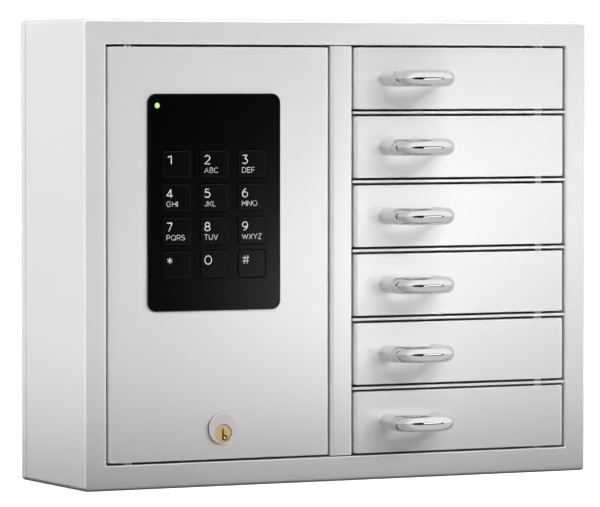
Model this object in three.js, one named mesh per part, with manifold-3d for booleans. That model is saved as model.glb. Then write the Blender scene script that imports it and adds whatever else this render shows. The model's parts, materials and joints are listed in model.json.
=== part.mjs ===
// A wall-hung key cabinet in folded sheet steel. A service door on the left carries a twelve-key code
// pad and a cam lock, and six small key doors on the right each have a bow handle and a sliding bolt.
// Millimetres, +Z up, the front faces -Y. The origin is the centre of the face that lies on the wall.

import * as THREE from 'three';
import { mergeVertices } from 'three/addons/utils/BufferGeometryUtils.js';
import Module from 'manifold-3d';

const wasm = await Module();
wasm.setup();

// ---------------------------------------------------------------- driving dimensions

const CASE = { width: 342, height: 280, depth: 95, sheet: 1.5, bend: 2, corner: 2.5 };
const FRAME = { stile: 14.5, post: 15, postGap: 0.6, rail: 15, flange: 12, corner: 1.2 };
const BACK = { rim: 6.8, seam: 0.6, lip: 18, lipGap: 0.4, wallHoleX: 125, wallHoleZ: 104, wallHole: 3.25 };
const DOOR = { gap: 1.2, sheet: 1.5, flange: 12, bend: 1.5, corner: 1.8 };
const PIVOT = { inset: 15, depth: 7, pin: 2.8, hole: 3.2, head: 4.5, headHeight: 1.8, reach: 7 };
const KEY_DOORS = 6;
const KEY_DOOR_HEIGHT = 38;
const SHELF_PITCH = 42;
const HANDLE = { spacing: 32, reach: 24, bar: 5, bend: 11, centreX: 47, stud: 2, studHole: 2.4, studLength: 7 };
const HOOK = { arm: 18, tip: 10, back: 68.5, halfHeight: 8 };
const BOLT = { tip: 5, length: 26, front: 79, back: 72, halfHeight: 4, slack: 0.4 };
const LATCH = { left: -24, front: 82.2, back: 67.5, halfHeight: 10, plateBack: 60, plateHalfHeight: 130 };
const PAD = { centreX: -86.2, centreZ: 30.8, width: 88, height: 130, corner: 5.5, proud: 1.4, edge: 0.7 };
const PAD_BODY = { width: 84, height: 126, back: 86, wall: 1.6, faceBack: 93.4, cutout: 0.5 };
const KEY = { width: 19, height: 17, corner: 2, pitchX: 25, pitchZ: 20, rowsZ: -7.2, front: 96.6, slack: 0.3 };
const KEY_SKIRT = { overhang: 0.9, front: 93.1, back: 92 };
const LED = { x: -37.7, z: 57.9, radius: 1.7, front: 96.6, collar: 2.3 };
const LOCK = { x: -81, z: -105, head: 9.75, headFront: 97.3, body: 9.25, bodyBack: 76, hole: 9.6 };
const PLUG = { drop: 3, radius: 5.4, bore: 5.7, front: 97, back: 75.4, drive: 3, driveBack: 70.6 };
const KEYWAY = { width: 1.5, height: 8, depth: 18, wardWidth: 1.6, wardHeight: 3.4 };
const CAM = { front: 74.8, thickness: 2, hubHalf: 6.5, armHalf: 5, crank: 10, length: 24, tipFront: 82.2 };
const BOARD = { x: -92, z: 66, width: 104, height: 78, thickness: 1.6, standoff: 8.5, post: 3, inset: 5 };
const CELL = { count: 4, radius: 7.1, length: 49, pitch: 15.6, nub: 2.7, nubLength: 1.2 };
const HOLDER = { x: -92, z: -52, width: 66, height: 55, depth: 14, wall: 1.5 };

const TOUCH = 0.3; // clearance between pieces that lie on each other
const FACE_GAP = 0.1; // clearance under a piece clamped flat against a door
const OVERCUT = 2; // how far a cutting tool runs past the material
const CORNER_STEPS = 2; // facets in each rounded corner
const BEND_STEPS = 1; // facets in each sheet-metal bend
const ROUND_SIDES = 16; // facets round a pin, plug or hole

const FRONT = -CASE.depth;
const HALF_WIDTH = CASE.width / 2;
const HALF_HEIGHT = CASE.height / 2;
const OPENING_RIGHT = HALF_WIDTH - FRAME.stile;
const OPENING_TOP = HALF_HEIGHT - FRAME.rail;
const SERVICE_BAY = { x0: -OPENING_RIGHT, x1: -FRAME.post / 2 };
const KEY_BAY = { x0: FRAME.post / 2, x1: OPENING_RIGHT };
const CASING_BACK = -BACK.rim - BACK.seam;
const PIVOT_Y = FRONT + PIVOT.depth;
const PIVOT_X = KEY_BAY.x1 - DOOR.gap - PIVOT.inset;
const INSIDE_Z = HALF_HEIGHT - 2 * CASE.sheet - BACK.lipGap - TOUCH; // clear of the back plate's lip

const shelfZ = (number) => (KEY_DOORS / 2 - number) * SHELF_PITCH;

// Height of the middle of key bay 1 (top) to 6 (bottom), between the shelves or the frame rails.
function bayCentreZ(number) {
  const upper = number === 1 ? OPENING_TOP : shelfZ(number - 1) - CASE.sheet / 2;
  const lower = number === KEY_DOORS ? -OPENING_TOP : shelfZ(number) + CASE.sheet / 2;
  return (upper + lower) / 2;
}

// ---------------------------------------------------------------- materials

function material(color, roughness, metalness) {
  return new THREE.MeshStandardMaterial({ color, roughness, metalness });
}

const POWDER_COAT = material(0xe2e3e4, 0.45, 0.1);
const ZINC = material(0xb4b9bd, 0.4, 0.85);
const CHROME = material(0xd9dcde, 0.08, 1);
const PIN_STEEL = material(0xa8acb0, 0.25, 1);
const BLACK_PLASTIC = material(0x101112, 0.35, 0);
const KEY_PLASTIC = material(0x17181a, 0.4, 0);
const GREEN_LENS = material(0xb8f59a, 0.2, 0);
const NICKEL = material(0xc9c8c6, 0.25, 1);
const BRASS = material(0xc6a65a, 0.3, 1);
const CIRCUIT_BOARD = material(0x1f6b3a, 0.5, 0);
const CELL_WRAP = material(0x3c4146, 0.35, 0.2);

// ---------------------------------------------------------------- building blocks

// A closed three.js geometry as a solid that can be joined and cut.
function solid(geometry) {
  const bare = geometry.clone();
  bare.deleteAttribute('normal');
  bare.deleteAttribute('uv');
  const merged = mergeVertices(bare);
  return new wasm.Manifold(new wasm.Mesh({
    numProp: 3,
    vertProperties: merged.attributes.position.array,
    triVerts: new Uint32Array(merged.index.array),
  }));
}

function block(x0, x1, y0, y1, z0, z1) {
  const box = new THREE.BoxGeometry(x1 - x0, y1 - y0, z1 - z0);
  box.translate((x0 + x1) / 2, (y0 + y1) / 2, (z0 + z1) / 2);
  return solid(box);
}

// An upright cylinder.
function upright(x, y, radius, z0, z1) {
  const cylinder = new THREE.CylinderGeometry(radius, radius, z1 - z0, ROUND_SIDES);
  cylinder.rotateX(Math.PI / 2);
  cylinder.translate(x, y, (z0 + z1) / 2);
  return solid(cylinder);
}

// A cylinder lying along Y, from y0 to y1.
function dowel(x, z, radius, y0, y1, sides = ROUND_SIDES) {
  const cylinder = new THREE.CylinderGeometry(radius, radius, y1 - y0, sides);
  cylinder.translate(x, (y0 + y1) / 2, z);
  return solid(cylinder);
}

// A turned piece. The profile's points are (radius, height); it stands on the Z axis.
function turned(profile) {
  const lathe = new THREE.LatheGeometry(profile.map(([r, h]) => new THREE.Vector2(r, h)), ROUND_SIDES);
  lathe.rotateX(Math.PI / 2);
  return solid(lathe);
}

function rectangle(x0, x1, z0, z1, radius) {
  const outline = new THREE.Shape();
  outline.absarc(x1 - radius, z1 - radius, radius, 0, Math.PI / 2);
  outline.absarc(x0 + radius, z1 - radius, radius, Math.PI / 2, Math.PI);
  outline.absarc(x0 + radius, z0 + radius, radius, Math.PI, 1.5 * Math.PI);
  outline.absarc(x1 - radius, z0 + radius, radius, 1.5 * Math.PI, 2 * Math.PI);
  outline.closePath();
  return outline;
}

function centredRectangle(width, height, radius) {
  return rectangle(-width / 2, width / 2, -height / 2, height / 2, radius);
}

// A flat piece cut to an outline in the XZ plane, from its front face at y0 to its back at y1. Its
// front edges, round the outside and round its holes, are rounded by the bend radius.
function panel(outline, y0, y1, bend = 0) {
  const geometry = new THREE.ExtrudeGeometry(outline, {
    depth: y1 - y0 - bend,
    curveSegments: CORNER_STEPS,
    bevelEnabled: bend > 0,
    bevelThickness: bend,
    bevelSize: bend,
    bevelOffset: -bend,
    bevelSegments: BEND_STEPS,
  });
  geometry.rotateX(Math.PI / 2);
  geometry.translate(0, y1, 0);
  if (bend === 0) return solid(geometry);
  const far = CASE.width;
  return solid(geometry).subtract(block(-far, far, y1, y1 + OVERCUT * bend, -far, far));
}

// A flat piece cut to an outline in the XY plane, from z0 up to z1.
function sheet(points, z0, z1) {
  const outline = new THREE.Shape(points.map(([x, y]) => new THREE.Vector2(x, y)));
  const geometry = new THREE.ExtrudeGeometry(outline, { depth: z1 - z0, bevelEnabled: false });
  geometry.translate(0, 0, z0);
  return solid(geometry);
}

function piece(name, body, look) {
  const data = body.getMesh();
  const geometry = new THREE.BufferGeometry();
  geometry.setAttribute('position', new THREE.BufferAttribute(data.vertProperties, data.numProp));
  geometry.setIndex(new THREE.BufferAttribute(data.triVerts, 1));
  geometry.computeVertexNormals();
  const mesh = new THREE.Mesh(geometry, look);
  mesh.name = name;
  return mesh;
}

function placed(mesh, x, y, z) {
  mesh.position.set(x, y, z);
  return mesh;
}

// ---------------------------------------------------------------- the case

// The front casing: four walls, and a face with one wide opening whose edges turn in as flanges.
function frontCasing() {
  const face = centredRectangle(CASE.width, CASE.height, CASE.corner);
  face.holes.push(centredRectangle(2 * OPENING_RIGHT, 2 * OPENING_TOP, FRAME.corner));
  const insideX = HALF_WIDTH - CASE.sheet;
  const insideZ = HALF_HEIGHT - CASE.sheet;
  const flangeX = OPENING_RIGHT + CASE.sheet;
  const flangeZ = OPENING_TOP + CASE.sheet;
  const hollow = block(-insideX, insideX, FRONT + CASE.sheet, CASING_BACK + OVERCUT, -insideZ, insideZ)
    .subtract(block(-flangeX, flangeX, FRONT, FRONT + FRAME.flange, -flangeZ, flangeZ));
  let casing = panel(face, FRONT, CASING_BACK, CASE.bend).subtract(hollow);
  for (const x of [-PIVOT_X, PIVOT_X]) {
    casing = casing.subtract(
      upright(x, PIVOT_Y, PIVOT.hole, -flangeZ - OVERCUT, flangeZ + OVERCUT));
  }
  return piece('front_casing', casing, POWDER_COAT);
}

// Where the control board's posts and fixing holes are.
function boardPosts() {
  const dx = BOARD.width / 2 - BOARD.inset;
  const dz = BOARD.height / 2 - BOARD.inset;
  return [[-dx, -dz], [dx, -dz], [-dx, dz], [dx, dz]].map(([x, z]) => [BOARD.x + x, BOARD.z + z]);
}

// The back plate: a tray with a hemmed rim, a lip that the casing slides over, wall-fixing holes and
// the control board's posts.
function backPlate() {
  const lipX = HALF_WIDTH - CASE.sheet - BACK.lipGap;
  const lipZ = HALF_HEIGHT - CASE.sheet - BACK.lipGap;
  const hollowX = lipX - CASE.sheet;
  const hollowZ = lipZ - CASE.sheet;
  let plate = panel(centredRectangle(CASE.width, CASE.height, CASE.corner), -BACK.rim, 0)
    .add(block(-lipX, lipX, -BACK.lip, -CASE.sheet, -lipZ, lipZ))
    .subtract(block(-hollowX, hollowX, -BACK.lip - OVERCUT, -CASE.sheet, -hollowZ, hollowZ));
  for (const x of [-BACK.wallHoleX, BACK.wallHoleX]) {
    for (const z of [-BACK.wallHoleZ, BACK.wallHoleZ]) {
      plate = plate.subtract(dowel(x, z, BACK.wallHole, -CASE.sheet - OVERCUT, OVERCUT));
    }
  }
  for (const [x, z] of boardPosts()) {
    plate = plate.add(dowel(x, z, BOARD.post, -CASE.sheet - BOARD.standoff, -CASE.sheet / 2));
  }
  return piece('back_plate', plate, POWDER_COAT);
}

// The upright partition between the two bays, with a window for each latch bolt. Its front folds
// round into the post that stands in the casing's opening.
function centrePartition() {
  const right = KEY_BAY.x0;
  const left = right - CASE.sheet;
  const neck = FRONT + FRAME.flange;
  const back = -CASE.sheet - TOUCH;
  const postZ = OPENING_TOP - FRAME.postGap;
  const post = { left: SERVICE_BAY.x1, bend: CASE.bend, inner: FRONT + CASE.sheet };
  const postPlan = [
    [post.left, neck], [post.left, FRONT + post.bend], [post.left + post.bend, FRONT],
    [right - post.bend, FRONT], [right, FRONT + post.bend], [right, neck],
    [left, neck], [left, post.inner], [post.left + CASE.sheet, post.inner], [post.left + CASE.sheet, neck],
  ];
  let plate = sheet(postPlan, -postZ, postZ)
    .add(block(left, right, neck - OVERCUT, back, -postZ, postZ))
    .add(block(left, right, neck + TOUCH, back, -INSIDE_Z, INSIDE_Z))
    .add(block(left - FRAME.flange, right, back - CASE.sheet, back, -INSIDE_Z, INSIDE_Z));
  const windowHalf = BOLT.halfHeight + 2 * BOLT.slack;
  for (let number = 1; number <= KEY_DOORS; number += 1) {
    const centre = bayCentreZ(number);
    plate = plate.subtract(block(
      left - OVERCUT, right + OVERCUT, -BOLT.front - 2 * BOLT.slack, -BOLT.back + 2 * BOLT.slack,
      centre - windowHalf, centre + windowHalf));
  }
  return piece('centre_partition', plate, POWDER_COAT);
}

// One shelf between two key bays, welded to the partition and the side wall. It narrows to pass
// between the casing's flanges.
function keyShelf(name) {
  const left = KEY_BAY.x0 + TOUCH;
  const frontRight = KEY_BAY.x1 - TOUCH;
  const rearRight = HALF_WIDTH - 2 * CASE.sheet - BACK.lipGap - TOUCH;
  const y0 = FRONT + TOUCH;
  const neck = FRONT + FRAME.flange + TOUCH;
  const y1 = -CASE.sheet - TOUCH;
  const half = CASE.sheet / 2;
  const plan = [
    [left, y0], [frontRight, y0], [frontRight, neck], [rearRight, neck], [rearRight, y1], [left, y1],
  ];
  const shelf = sheet(plan, -half, half)
    .subtract(upright(PIVOT_X, PIVOT_Y, PIVOT.hole, -OVERCUT, OVERCUT));
  return piece(name, shelf, POWDER_COAT);
}

// ---------------------------------------------------------------- hinges

// The rod that all six key doors turn on, headed at both ends outside the casing's flanges.
function keyDoorHingeRod() {
  const seat = OPENING_TOP + CASE.sheet + TOUCH;
  const end = seat + PIVOT.headHeight;
  const rod = turned([
    [0, -end], [PIVOT.head, -end], [PIVOT.head, -seat], [PIVOT.pin, -seat],
    [PIVOT.pin, seat], [PIVOT.head, seat], [PIVOT.head, end], [0, end],
  ]);
  return placed(piece('key_door_hinge_rod', rod, PIN_STEEL), PIVOT_X, PIVOT_Y, 0);
}

// A short headed pin at the top or bottom of the service door. Side is 1 for the top, -1 for the bottom.
function serviceDoorPin(name, side) {
  const seat = OPENING_TOP + CASE.sheet + TOUCH;
  const profile = [
    [0, seat - CASE.sheet - PIVOT.reach], [PIVOT.pin, seat - CASE.sheet - PIVOT.reach], [PIVOT.pin, seat],
    [PIVOT.head, seat], [PIVOT.head, seat + PIVOT.headHeight], [0, seat + PIVOT.headHeight],
  ];
  const points = side > 0 ? profile : profile.map(([r, h]) => [r, -h]).reverse();
  return placed(piece(name, turned(points), PIN_STEEL), -PIVOT_X, PIVOT_Y, 0);
}

// ---------------------------------------------------------------- doors

// A folded door panel: a face with all four edges turned back, and pivot holes near one side.
function doorPan(x0, x1, halfHeight, pivotX) {
  const hollowHalf = halfHeight - DOOR.sheet;
  return panel(rectangle(x0, x1, -halfHeight, halfHeight, DOOR.corner), FRONT, FRONT + DOOR.flange, DOOR.bend)
    .subtract(block(
      x0 + DOOR.sheet, x1 - DOOR.sheet, FRONT + DOOR.sheet, FRONT + DOOR.flange + OVERCUT,
      -hollowHalf, hollowHalf))
    .subtract(upright(pivotX, PIVOT_Y, PIVOT.hole, -halfHeight - OVERCUT, halfHeight + OVERCUT));
}

// A key door, with a welded hook that the latch bolt slides in front of.
function keyDoor(name) {
  const hookY = -HOOK.back;
  let door = doorPan(KEY_BAY.x0 + DOOR.gap, KEY_BAY.x1 - DOOR.gap, KEY_DOOR_HEIGHT / 2, PIVOT_X)
    .add(block(HOOK.arm, HOOK.arm + DOOR.sheet, FRONT + DOOR.sheet / 2, hookY, -HOOK.halfHeight, HOOK.halfHeight))
    .add(block(HOOK.tip, HOOK.arm + DOOR.sheet, hookY - DOOR.sheet, hookY, -HOOK.halfHeight, HOOK.halfHeight));
  for (const side of [-1, 1]) {
    door = door.subtract(dowel(
      HANDLE.centreX + side * HANDLE.spacing / 2, 0, HANDLE.studHole, FRONT - OVERCUT, FRONT + OVERCUT));
  }
  return piece(name, door, POWDER_COAT);
}

// The centre line of a bow handle: out from the door, across and back, with round bends.
class BowPath extends THREE.Curve {
  getPoint(t) {
    const leg = HANDLE.reach - HANDLE.bend;
    const arc = HANDLE.bend * Math.PI / 2;
    const halfBar = HANDLE.spacing / 2 - HANDLE.bend;
    const half = leg + arc + halfBar;
    const side = t < 0.5 ? -1 : 1;
    const travelled = half * (1 - Math.abs(2 * t - 1));
    let across = HANDLE.spacing / 2;
    let out = travelled;
    if (travelled > leg + arc) {
      across = half - travelled;
      out = HANDLE.reach;
    } else if (travelled > leg) {
      const angle = (travelled - leg) / HANDLE.bend;
      across -= HANDLE.bend * (1 - Math.cos(angle));
      out = leg + HANDLE.bend * Math.sin(angle);
    }
    return new THREE.Vector3(side * across, -out, 0);
  }
}

function bowHandle(name) {
  const steps = 16;
  const sides = 8;
  const ring = Array.from({ length: sides }, (_, i) => {
    const angle = (i + 0.5) * 2 * Math.PI / sides;
    return new THREE.Vector2(HANDLE.bar * Math.cos(angle), HANDLE.bar * Math.sin(angle));
  });
  const bow = new THREE.ExtrudeGeometry(new THREE.Shape(ring), { steps, extrudePath: new BowPath() });
  let handle = solid(bow);
  for (const side of [-1, 1]) {
    handle = handle.add(dowel(side * HANDLE.spacing / 2, 0, HANDLE.stud, -OVERCUT, HANDLE.studLength, sides));
  }
  return piece(name, handle, CHROME);
}

// The service door, cut out for the code pad and the cam lock.
function serviceDoor() {
  const cutX = PAD_BODY.width / 2 + PAD_BODY.cutout;
  const cutZ = PAD_BODY.height / 2 + PAD_BODY.cutout;
  const door = doorPan(SERVICE_BAY.x0 + DOOR.gap, SERVICE_BAY.x1 - DOOR.gap, OPENING_TOP - DOOR.gap, -PIVOT_X)
    .subtract(block(
      PAD.centreX - cutX, PAD.centreX + cutX, FRONT - OVERCUT, FRONT + OVERCUT,
      PAD.centreZ - cutZ, PAD.centreZ + cutZ))
    .subtract(dowel(LOCK.x, LOCK.z, LOCK.hole, FRONT - OVERCUT, FRONT + OVERCUT));
  return piece('service_door', door, POWDER_COAT);
}

// ---------------------------------------------------------------- code pad (drawn about its own centre)

const PAD_KEYS = [
  ['key_1', 'key_2', 'key_3'],
  ['key_4', 'key_5', 'key_6'],
  ['key_7', 'key_8', 'key_9'],
  ['key_star', 'key_0', 'key_hash'],
];

// Every key's name and the middle of its place on the pad.
function keyPlaces() {
  const middleRow = (PAD_KEYS.length - 1) / 2;
  return PAD_KEYS.flatMap((row, r) => row.map((name, c) => (
    { name, x: (c - 1) * KEY.pitchX, z: KEY.rowsZ + (middleRow - r) * KEY.pitchZ })));
}

function keypadBezel() {
  const bodyX = PAD_BODY.width / 2;
  const bodyZ = PAD_BODY.height / 2;
  const wall = PAD_BODY.wall;
  let bezel = panel(centredRectangle(PAD.width, PAD.height, PAD.corner), FRONT - PAD.proud, FRONT - FACE_GAP, PAD.edge)
    .add(block(-bodyX, bodyX, FRONT - PAD.proud / 2, -PAD_BODY.back, -bodyZ, bodyZ))
    .subtract(block(
      wall - bodyX, bodyX - wall, -PAD_BODY.faceBack, -PAD_BODY.back + OVERCUT, wall - bodyZ, bodyZ - wall));
  const aperture = centredRectangle(KEY.width + 2 * KEY.slack, KEY.height + 2 * KEY.slack, KEY.corner);
  const punch = panel(aperture, FRONT - OVERCUT, -PAD_BODY.faceBack + OVERCUT);
  for (const { x, z } of keyPlaces()) {
    bezel = bezel.subtract(punch.translate([x, 0, z]));
  }
  bezel = bezel.subtract(dowel(
    LED.x, LED.z, LED.radius + KEY.slack, FRONT - OVERCUT, -PAD_BODY.faceBack + OVERCUT));
  return piece('keypad_bezel', bezel, BLACK_PLASTIC);
}

// A key cap with a skirt behind the bezel that keeps it in.
function keyCap(name) {
  const skirtX = KEY.width / 2 + KEY_SKIRT.overhang;
  const skirtZ = KEY.height / 2 + KEY_SKIRT.overhang;
  const cap = panel(centredRectangle(KEY.width, KEY.height, KEY.corner), -KEY.front, -KEY_SKIRT.back)
    .add(block(-skirtX, skirtX, -KEY_SKIRT.front, -KEY_SKIRT.back, -skirtZ, skirtZ));
  return piece(name, cap, KEY_PLASTIC);
}

function statusLens() {
  const lens = dowel(0, 0, LED.radius, -LED.front, -KEY_SKIRT.back)
    .add(dowel(0, 0, LED.collar, -KEY_SKIRT.front, -KEY_SKIRT.back));
  return placed(piece('status_led_lens', lens, GREEN_LENS), LED.x, 0, LED.z);
}

const PAD_BOARD = { front: 90.6, back: 89 };

function keypadBoard() {
  const x = PAD_BODY.width / 2 - PAD_BODY.wall - TOUCH;
  const z = PAD_BODY.height / 2 - PAD_BODY.wall - TOUCH;
  return piece('keypad_circuit_board', block(-x, x, -PAD_BOARD.front, -PAD_BOARD.back, -z, z), CIRCUIT_BOARD);
}

// The cover that closes the pad from behind, with a lip that fits inside the bezel's walls.
function keypadRearCover() {
  const x = PAD_BODY.width / 2;
  const z = PAD_BODY.height / 2;
  const inset = PAD_BODY.wall + TOUCH;
  const lip = inset + PAD_BODY.wall;
  const seat = -PAD_BODY.back + TOUCH;
  const cover = block(-x, x, seat, seat + PAD_BODY.wall, -z, z)
    .add(block(inset - x, x - inset, -PAD_BOARD.back + TOUCH, seat + PAD_BODY.wall / 2, inset - z, z - inset))
    .subtract(block(lip - x, x - lip, -PAD_BOARD.back, seat, lip - z, z - lip));
  return piece('keypad_rear_cover', cover, BLACK_PLASTIC);
}

function codePad() {
  const pad = new THREE.Group();
  pad.position.set(PAD.centreX, 0, PAD.centreZ);
  pad.add(keypadBezel(), statusLens(), keypadBoard(), keypadRearCover());
  for (const { name, x, z } of keyPlaces()) {
    pad.add(placed(keyCap(name), x, 0, z));
  }
  return pad;
}

// ---------------------------------------------------------------- cam lock (drawn about its own axis)

// The lock's body, with the plug's bore below its centre.
function lockHousing() {
  const housing = dowel(0, 0, LOCK.head, -LOCK.headFront, FRONT - FACE_GAP)
    .add(dowel(0, 0, LOCK.body, FRONT - OVERCUT, -LOCK.bodyBack))
    .subtract(dowel(0, -PLUG.drop, PLUG.bore, -LOCK.headFront - OVERCUT, -LOCK.bodyBack + OVERCUT));
  return piece('lock_housing', housing, NICKEL);
}

function lockNut() {
  const nutSides = 6;
  const nut = { radius: 13.5, thickness: 3.6 };
  const y0 = FRONT + DOOR.sheet + TOUCH;
  const ring = dowel(0, 0, nut.radius, y0, y0 + nut.thickness, nutSides)
    .subtract(dowel(0, 0, LOCK.body + TOUCH, y0 - OVERCUT, y0 + nut.thickness + OVERCUT));
  return piece('lock_nut', ring, ZINC);
}

// The plug that the key turns, drawn about its own axis: a keyway with one side ward in front, and a
// square drive behind.
function lockPlug() {
  const keywayBack = -PLUG.front + KEYWAY.depth;
  const halfWidth = KEYWAY.width / 2;
  const halfHeight = KEYWAY.height / 2;
  const plug = dowel(0, 0, PLUG.radius, -PLUG.front, -PLUG.back)
    .add(block(-PLUG.drive, PLUG.drive, -PLUG.back - OVERCUT, -PLUG.driveBack, -PLUG.drive, PLUG.drive))
    .subtract(block(-halfWidth, halfWidth, -PLUG.front - OVERCUT, keywayBack, -halfHeight, halfHeight))
    .subtract(block(
      0, halfWidth + KEYWAY.wardWidth, -PLUG.front - OVERCUT, keywayBack,
      -halfHeight + TOUCH, -halfHeight + KEYWAY.wardHeight));
  return piece('lock_plug', plug, BRASS);
}

// The cranked cam, drawn pointing to -X: its hub sits on the plug's drive and its tip reaches forward
// to lie just behind the frame's flange.
function lockCam() {
  const hubBack = -CAM.front + CAM.thickness;
  const tipBack = -CAM.tipFront + CAM.thickness;
  const hole = PLUG.drive + TOUCH;
  const cam = block(-CAM.crank, CAM.hubHalf, -CAM.front, hubBack, -CAM.hubHalf, CAM.hubHalf)
    .add(block(-CAM.crank - CAM.thickness, -CAM.crank, -CAM.tipFront, hubBack, -CAM.armHalf, CAM.armHalf))
    .add(block(-CAM.length, -CAM.crank, -CAM.tipFront, tipBack, -CAM.armHalf, CAM.armHalf))
    .subtract(block(-hole, hole, -CAM.front - OVERCUT, hubBack + OVERCUT, -hole, hole));
  return piece('lock_cam', cam, ZINC);
}

function camScrew() {
  const head = { radius: 4.8, thickness: 2.6 };
  const y0 = -PLUG.driveBack + TOUCH;
  const socket = { radius: 1.8, depth: 1.6 };
  const screw = dowel(0, 0, head.radius, y0, y0 + head.thickness)
    .subtract(dowel(0, 0, socket.radius, y0 + head.thickness - socket.depth, y0 + head.thickness + OVERCUT, 6));
  return piece('cam_screw', screw, ZINC);
}

function camLock() {
  const lock = new THREE.Group();
  lock.position.set(LOCK.x, 0, LOCK.z);
  const turning = new THREE.Group();
  turning.position.z = -PLUG.drop;
  turning.add(lockPlug(), lockCam(), camScrew());
  lock.add(lockHousing(), lockNut(), turning);
  return lock;
}

// ---------------------------------------------------------------- latches

// The rail on the partition that carries six bolt drives, each with a guide slot through it.
function latchRail() {
  const right = KEY_BAY.x0 - CASE.sheet - TOUCH;
  let rail = block(
    right - CASE.sheet, right, -LATCH.front, -LATCH.plateBack, -LATCH.plateHalfHeight, LATCH.plateHalfHeight);
  for (let number = 1; number <= KEY_DOORS; number += 1) {
    const centre = bayCentreZ(number);
    const slot = BOLT.halfHeight + BOLT.slack;
    rail = rail
      .add(block(
        LATCH.left, right - CASE.sheet / 2, -LATCH.front, -LATCH.back,
        centre - LATCH.halfHeight, centre + LATCH.halfHeight))
      .subtract(block(
        LATCH.left - OVERCUT, right + OVERCUT, -BOLT.front - BOLT.slack, -BOLT.back + BOLT.slack,
        centre - slot, centre + slot));
  }
  return piece('latch_rail', rail, ZINC);
}

function latchBolt(name) {
  const bolt = block(BOLT.tip - BOLT.length, BOLT.tip, -BOLT.front, -BOLT.back, -BOLT.halfHeight, BOLT.halfHeight);
  return piece(name, bolt, PIN_STEEL);
}

// ---------------------------------------------------------------- control board and cells

function controlBoard() {
  const y1 = -CASE.sheet - BOARD.standoff - TOUCH;
  const dx = BOARD.width / 2;
  const dz = BOARD.height / 2;
  const board = block(BOARD.x - dx, BOARD.x + dx, y1 - BOARD.thickness, y1, BOARD.z - dz, BOARD.z + dz);
  return piece('control_board', board, CIRCUIT_BOARD);
}

// An open tray with a low rib between each pair of cells.
function batteryHolder() {
  const back = -CASE.sheet - TOUCH;
  const floor = back - HOLDER.wall;
  const dx = HOLDER.width / 2;
  const dz = HOLDER.height / 2;
  const front = back - HOLDER.depth;
  let tray = block(-dx, dx, front, back, -dz, dz).subtract(block(
    HOLDER.wall - dx, dx - HOLDER.wall, front - OVERCUT, floor, HOLDER.wall - dz, dz - HOLDER.wall));
  const rib = { halfWidth: 0.4, height: 2.5 };
  for (let number = 1; number < CELL.count; number += 1) {
    const x = (number - CELL.count / 2) * CELL.pitch;
    tray = tray.add(block(x - rib.halfWidth, x + rib.halfWidth, floor - rib.height, back, -dz, dz));
  }
  return placed(piece('battery_holder', tray, BLACK_PLASTIC), HOLDER.x, 0, HOLDER.z);
}

function batteryCell(name, number) {
  const half = CELL.length / 2;
  const cell = turned([
    [0, -half], [CELL.radius, -half], [CELL.radius, half], [CELL.nub, half],
    [CELL.nub, half + CELL.nubLength], [0, half + CELL.nubLength],
  ]);
  const mesh = piece(name, cell, CELL_WRAP);
  const x = HOLDER.x + (number - (CELL.count + 1) / 2) * CELL.pitch;
  const y = -CASE.sheet - TOUCH - HOLDER.wall - TOUCH - CELL.radius;
  return placed(mesh, x, y, HOLDER.z);
}

// ---------------------------------------------------------------- assembly

const cabinet = new THREE.Group();
cabinet.add(frontCasing(), backPlate(), centrePartition(), latchRail(), controlBoard(), batteryHolder());
cabinet.add(keyDoorHingeRod());
cabinet.add(serviceDoorPin('service_door_upper_pin', 1), serviceDoorPin('service_door_lower_pin', -1));
cabinet.add(serviceDoor(), codePad(), camLock());
for (let number = 1; number < KEY_DOORS; number += 1) {
  cabinet.add(placed(keyShelf(`key_shelf_${number}`), 0, 0, shelfZ(number)));
}
for (let number = 1; number <= KEY_DOORS; number += 1) {
  const z = bayCentreZ(number);
  cabinet.add(placed(keyDoor(`key_door_${number}`), 0, 0, z));
  cabinet.add(placed(bowHandle(`door_handle_${number}`), HANDLE.centreX, FRONT - FACE_GAP, z));
  cabinet.add(placed(latchBolt(`latch_bolt_${number}`), 0, 0, z));
}
for (let number = 1; number <= CELL.count; number += 1) {
  cabinet.add(batteryCell(`battery_cell_${number}`, number));
}

export default cabinet;
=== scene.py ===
# The looks of the key cabinet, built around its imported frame: folded and powder-coated sheet steel,
# chrome bow handles, the code pad with its printed keys, the cam lock, and the fittings inside.
# Metres, +Z up; the front faces -Y and the origin is the centre of the face that lies on the wall.

import json
import math

import bmesh
import bpy
from mathutils import Matrix, Vector
from mathutils.geometry import tessellate_polygon


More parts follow.
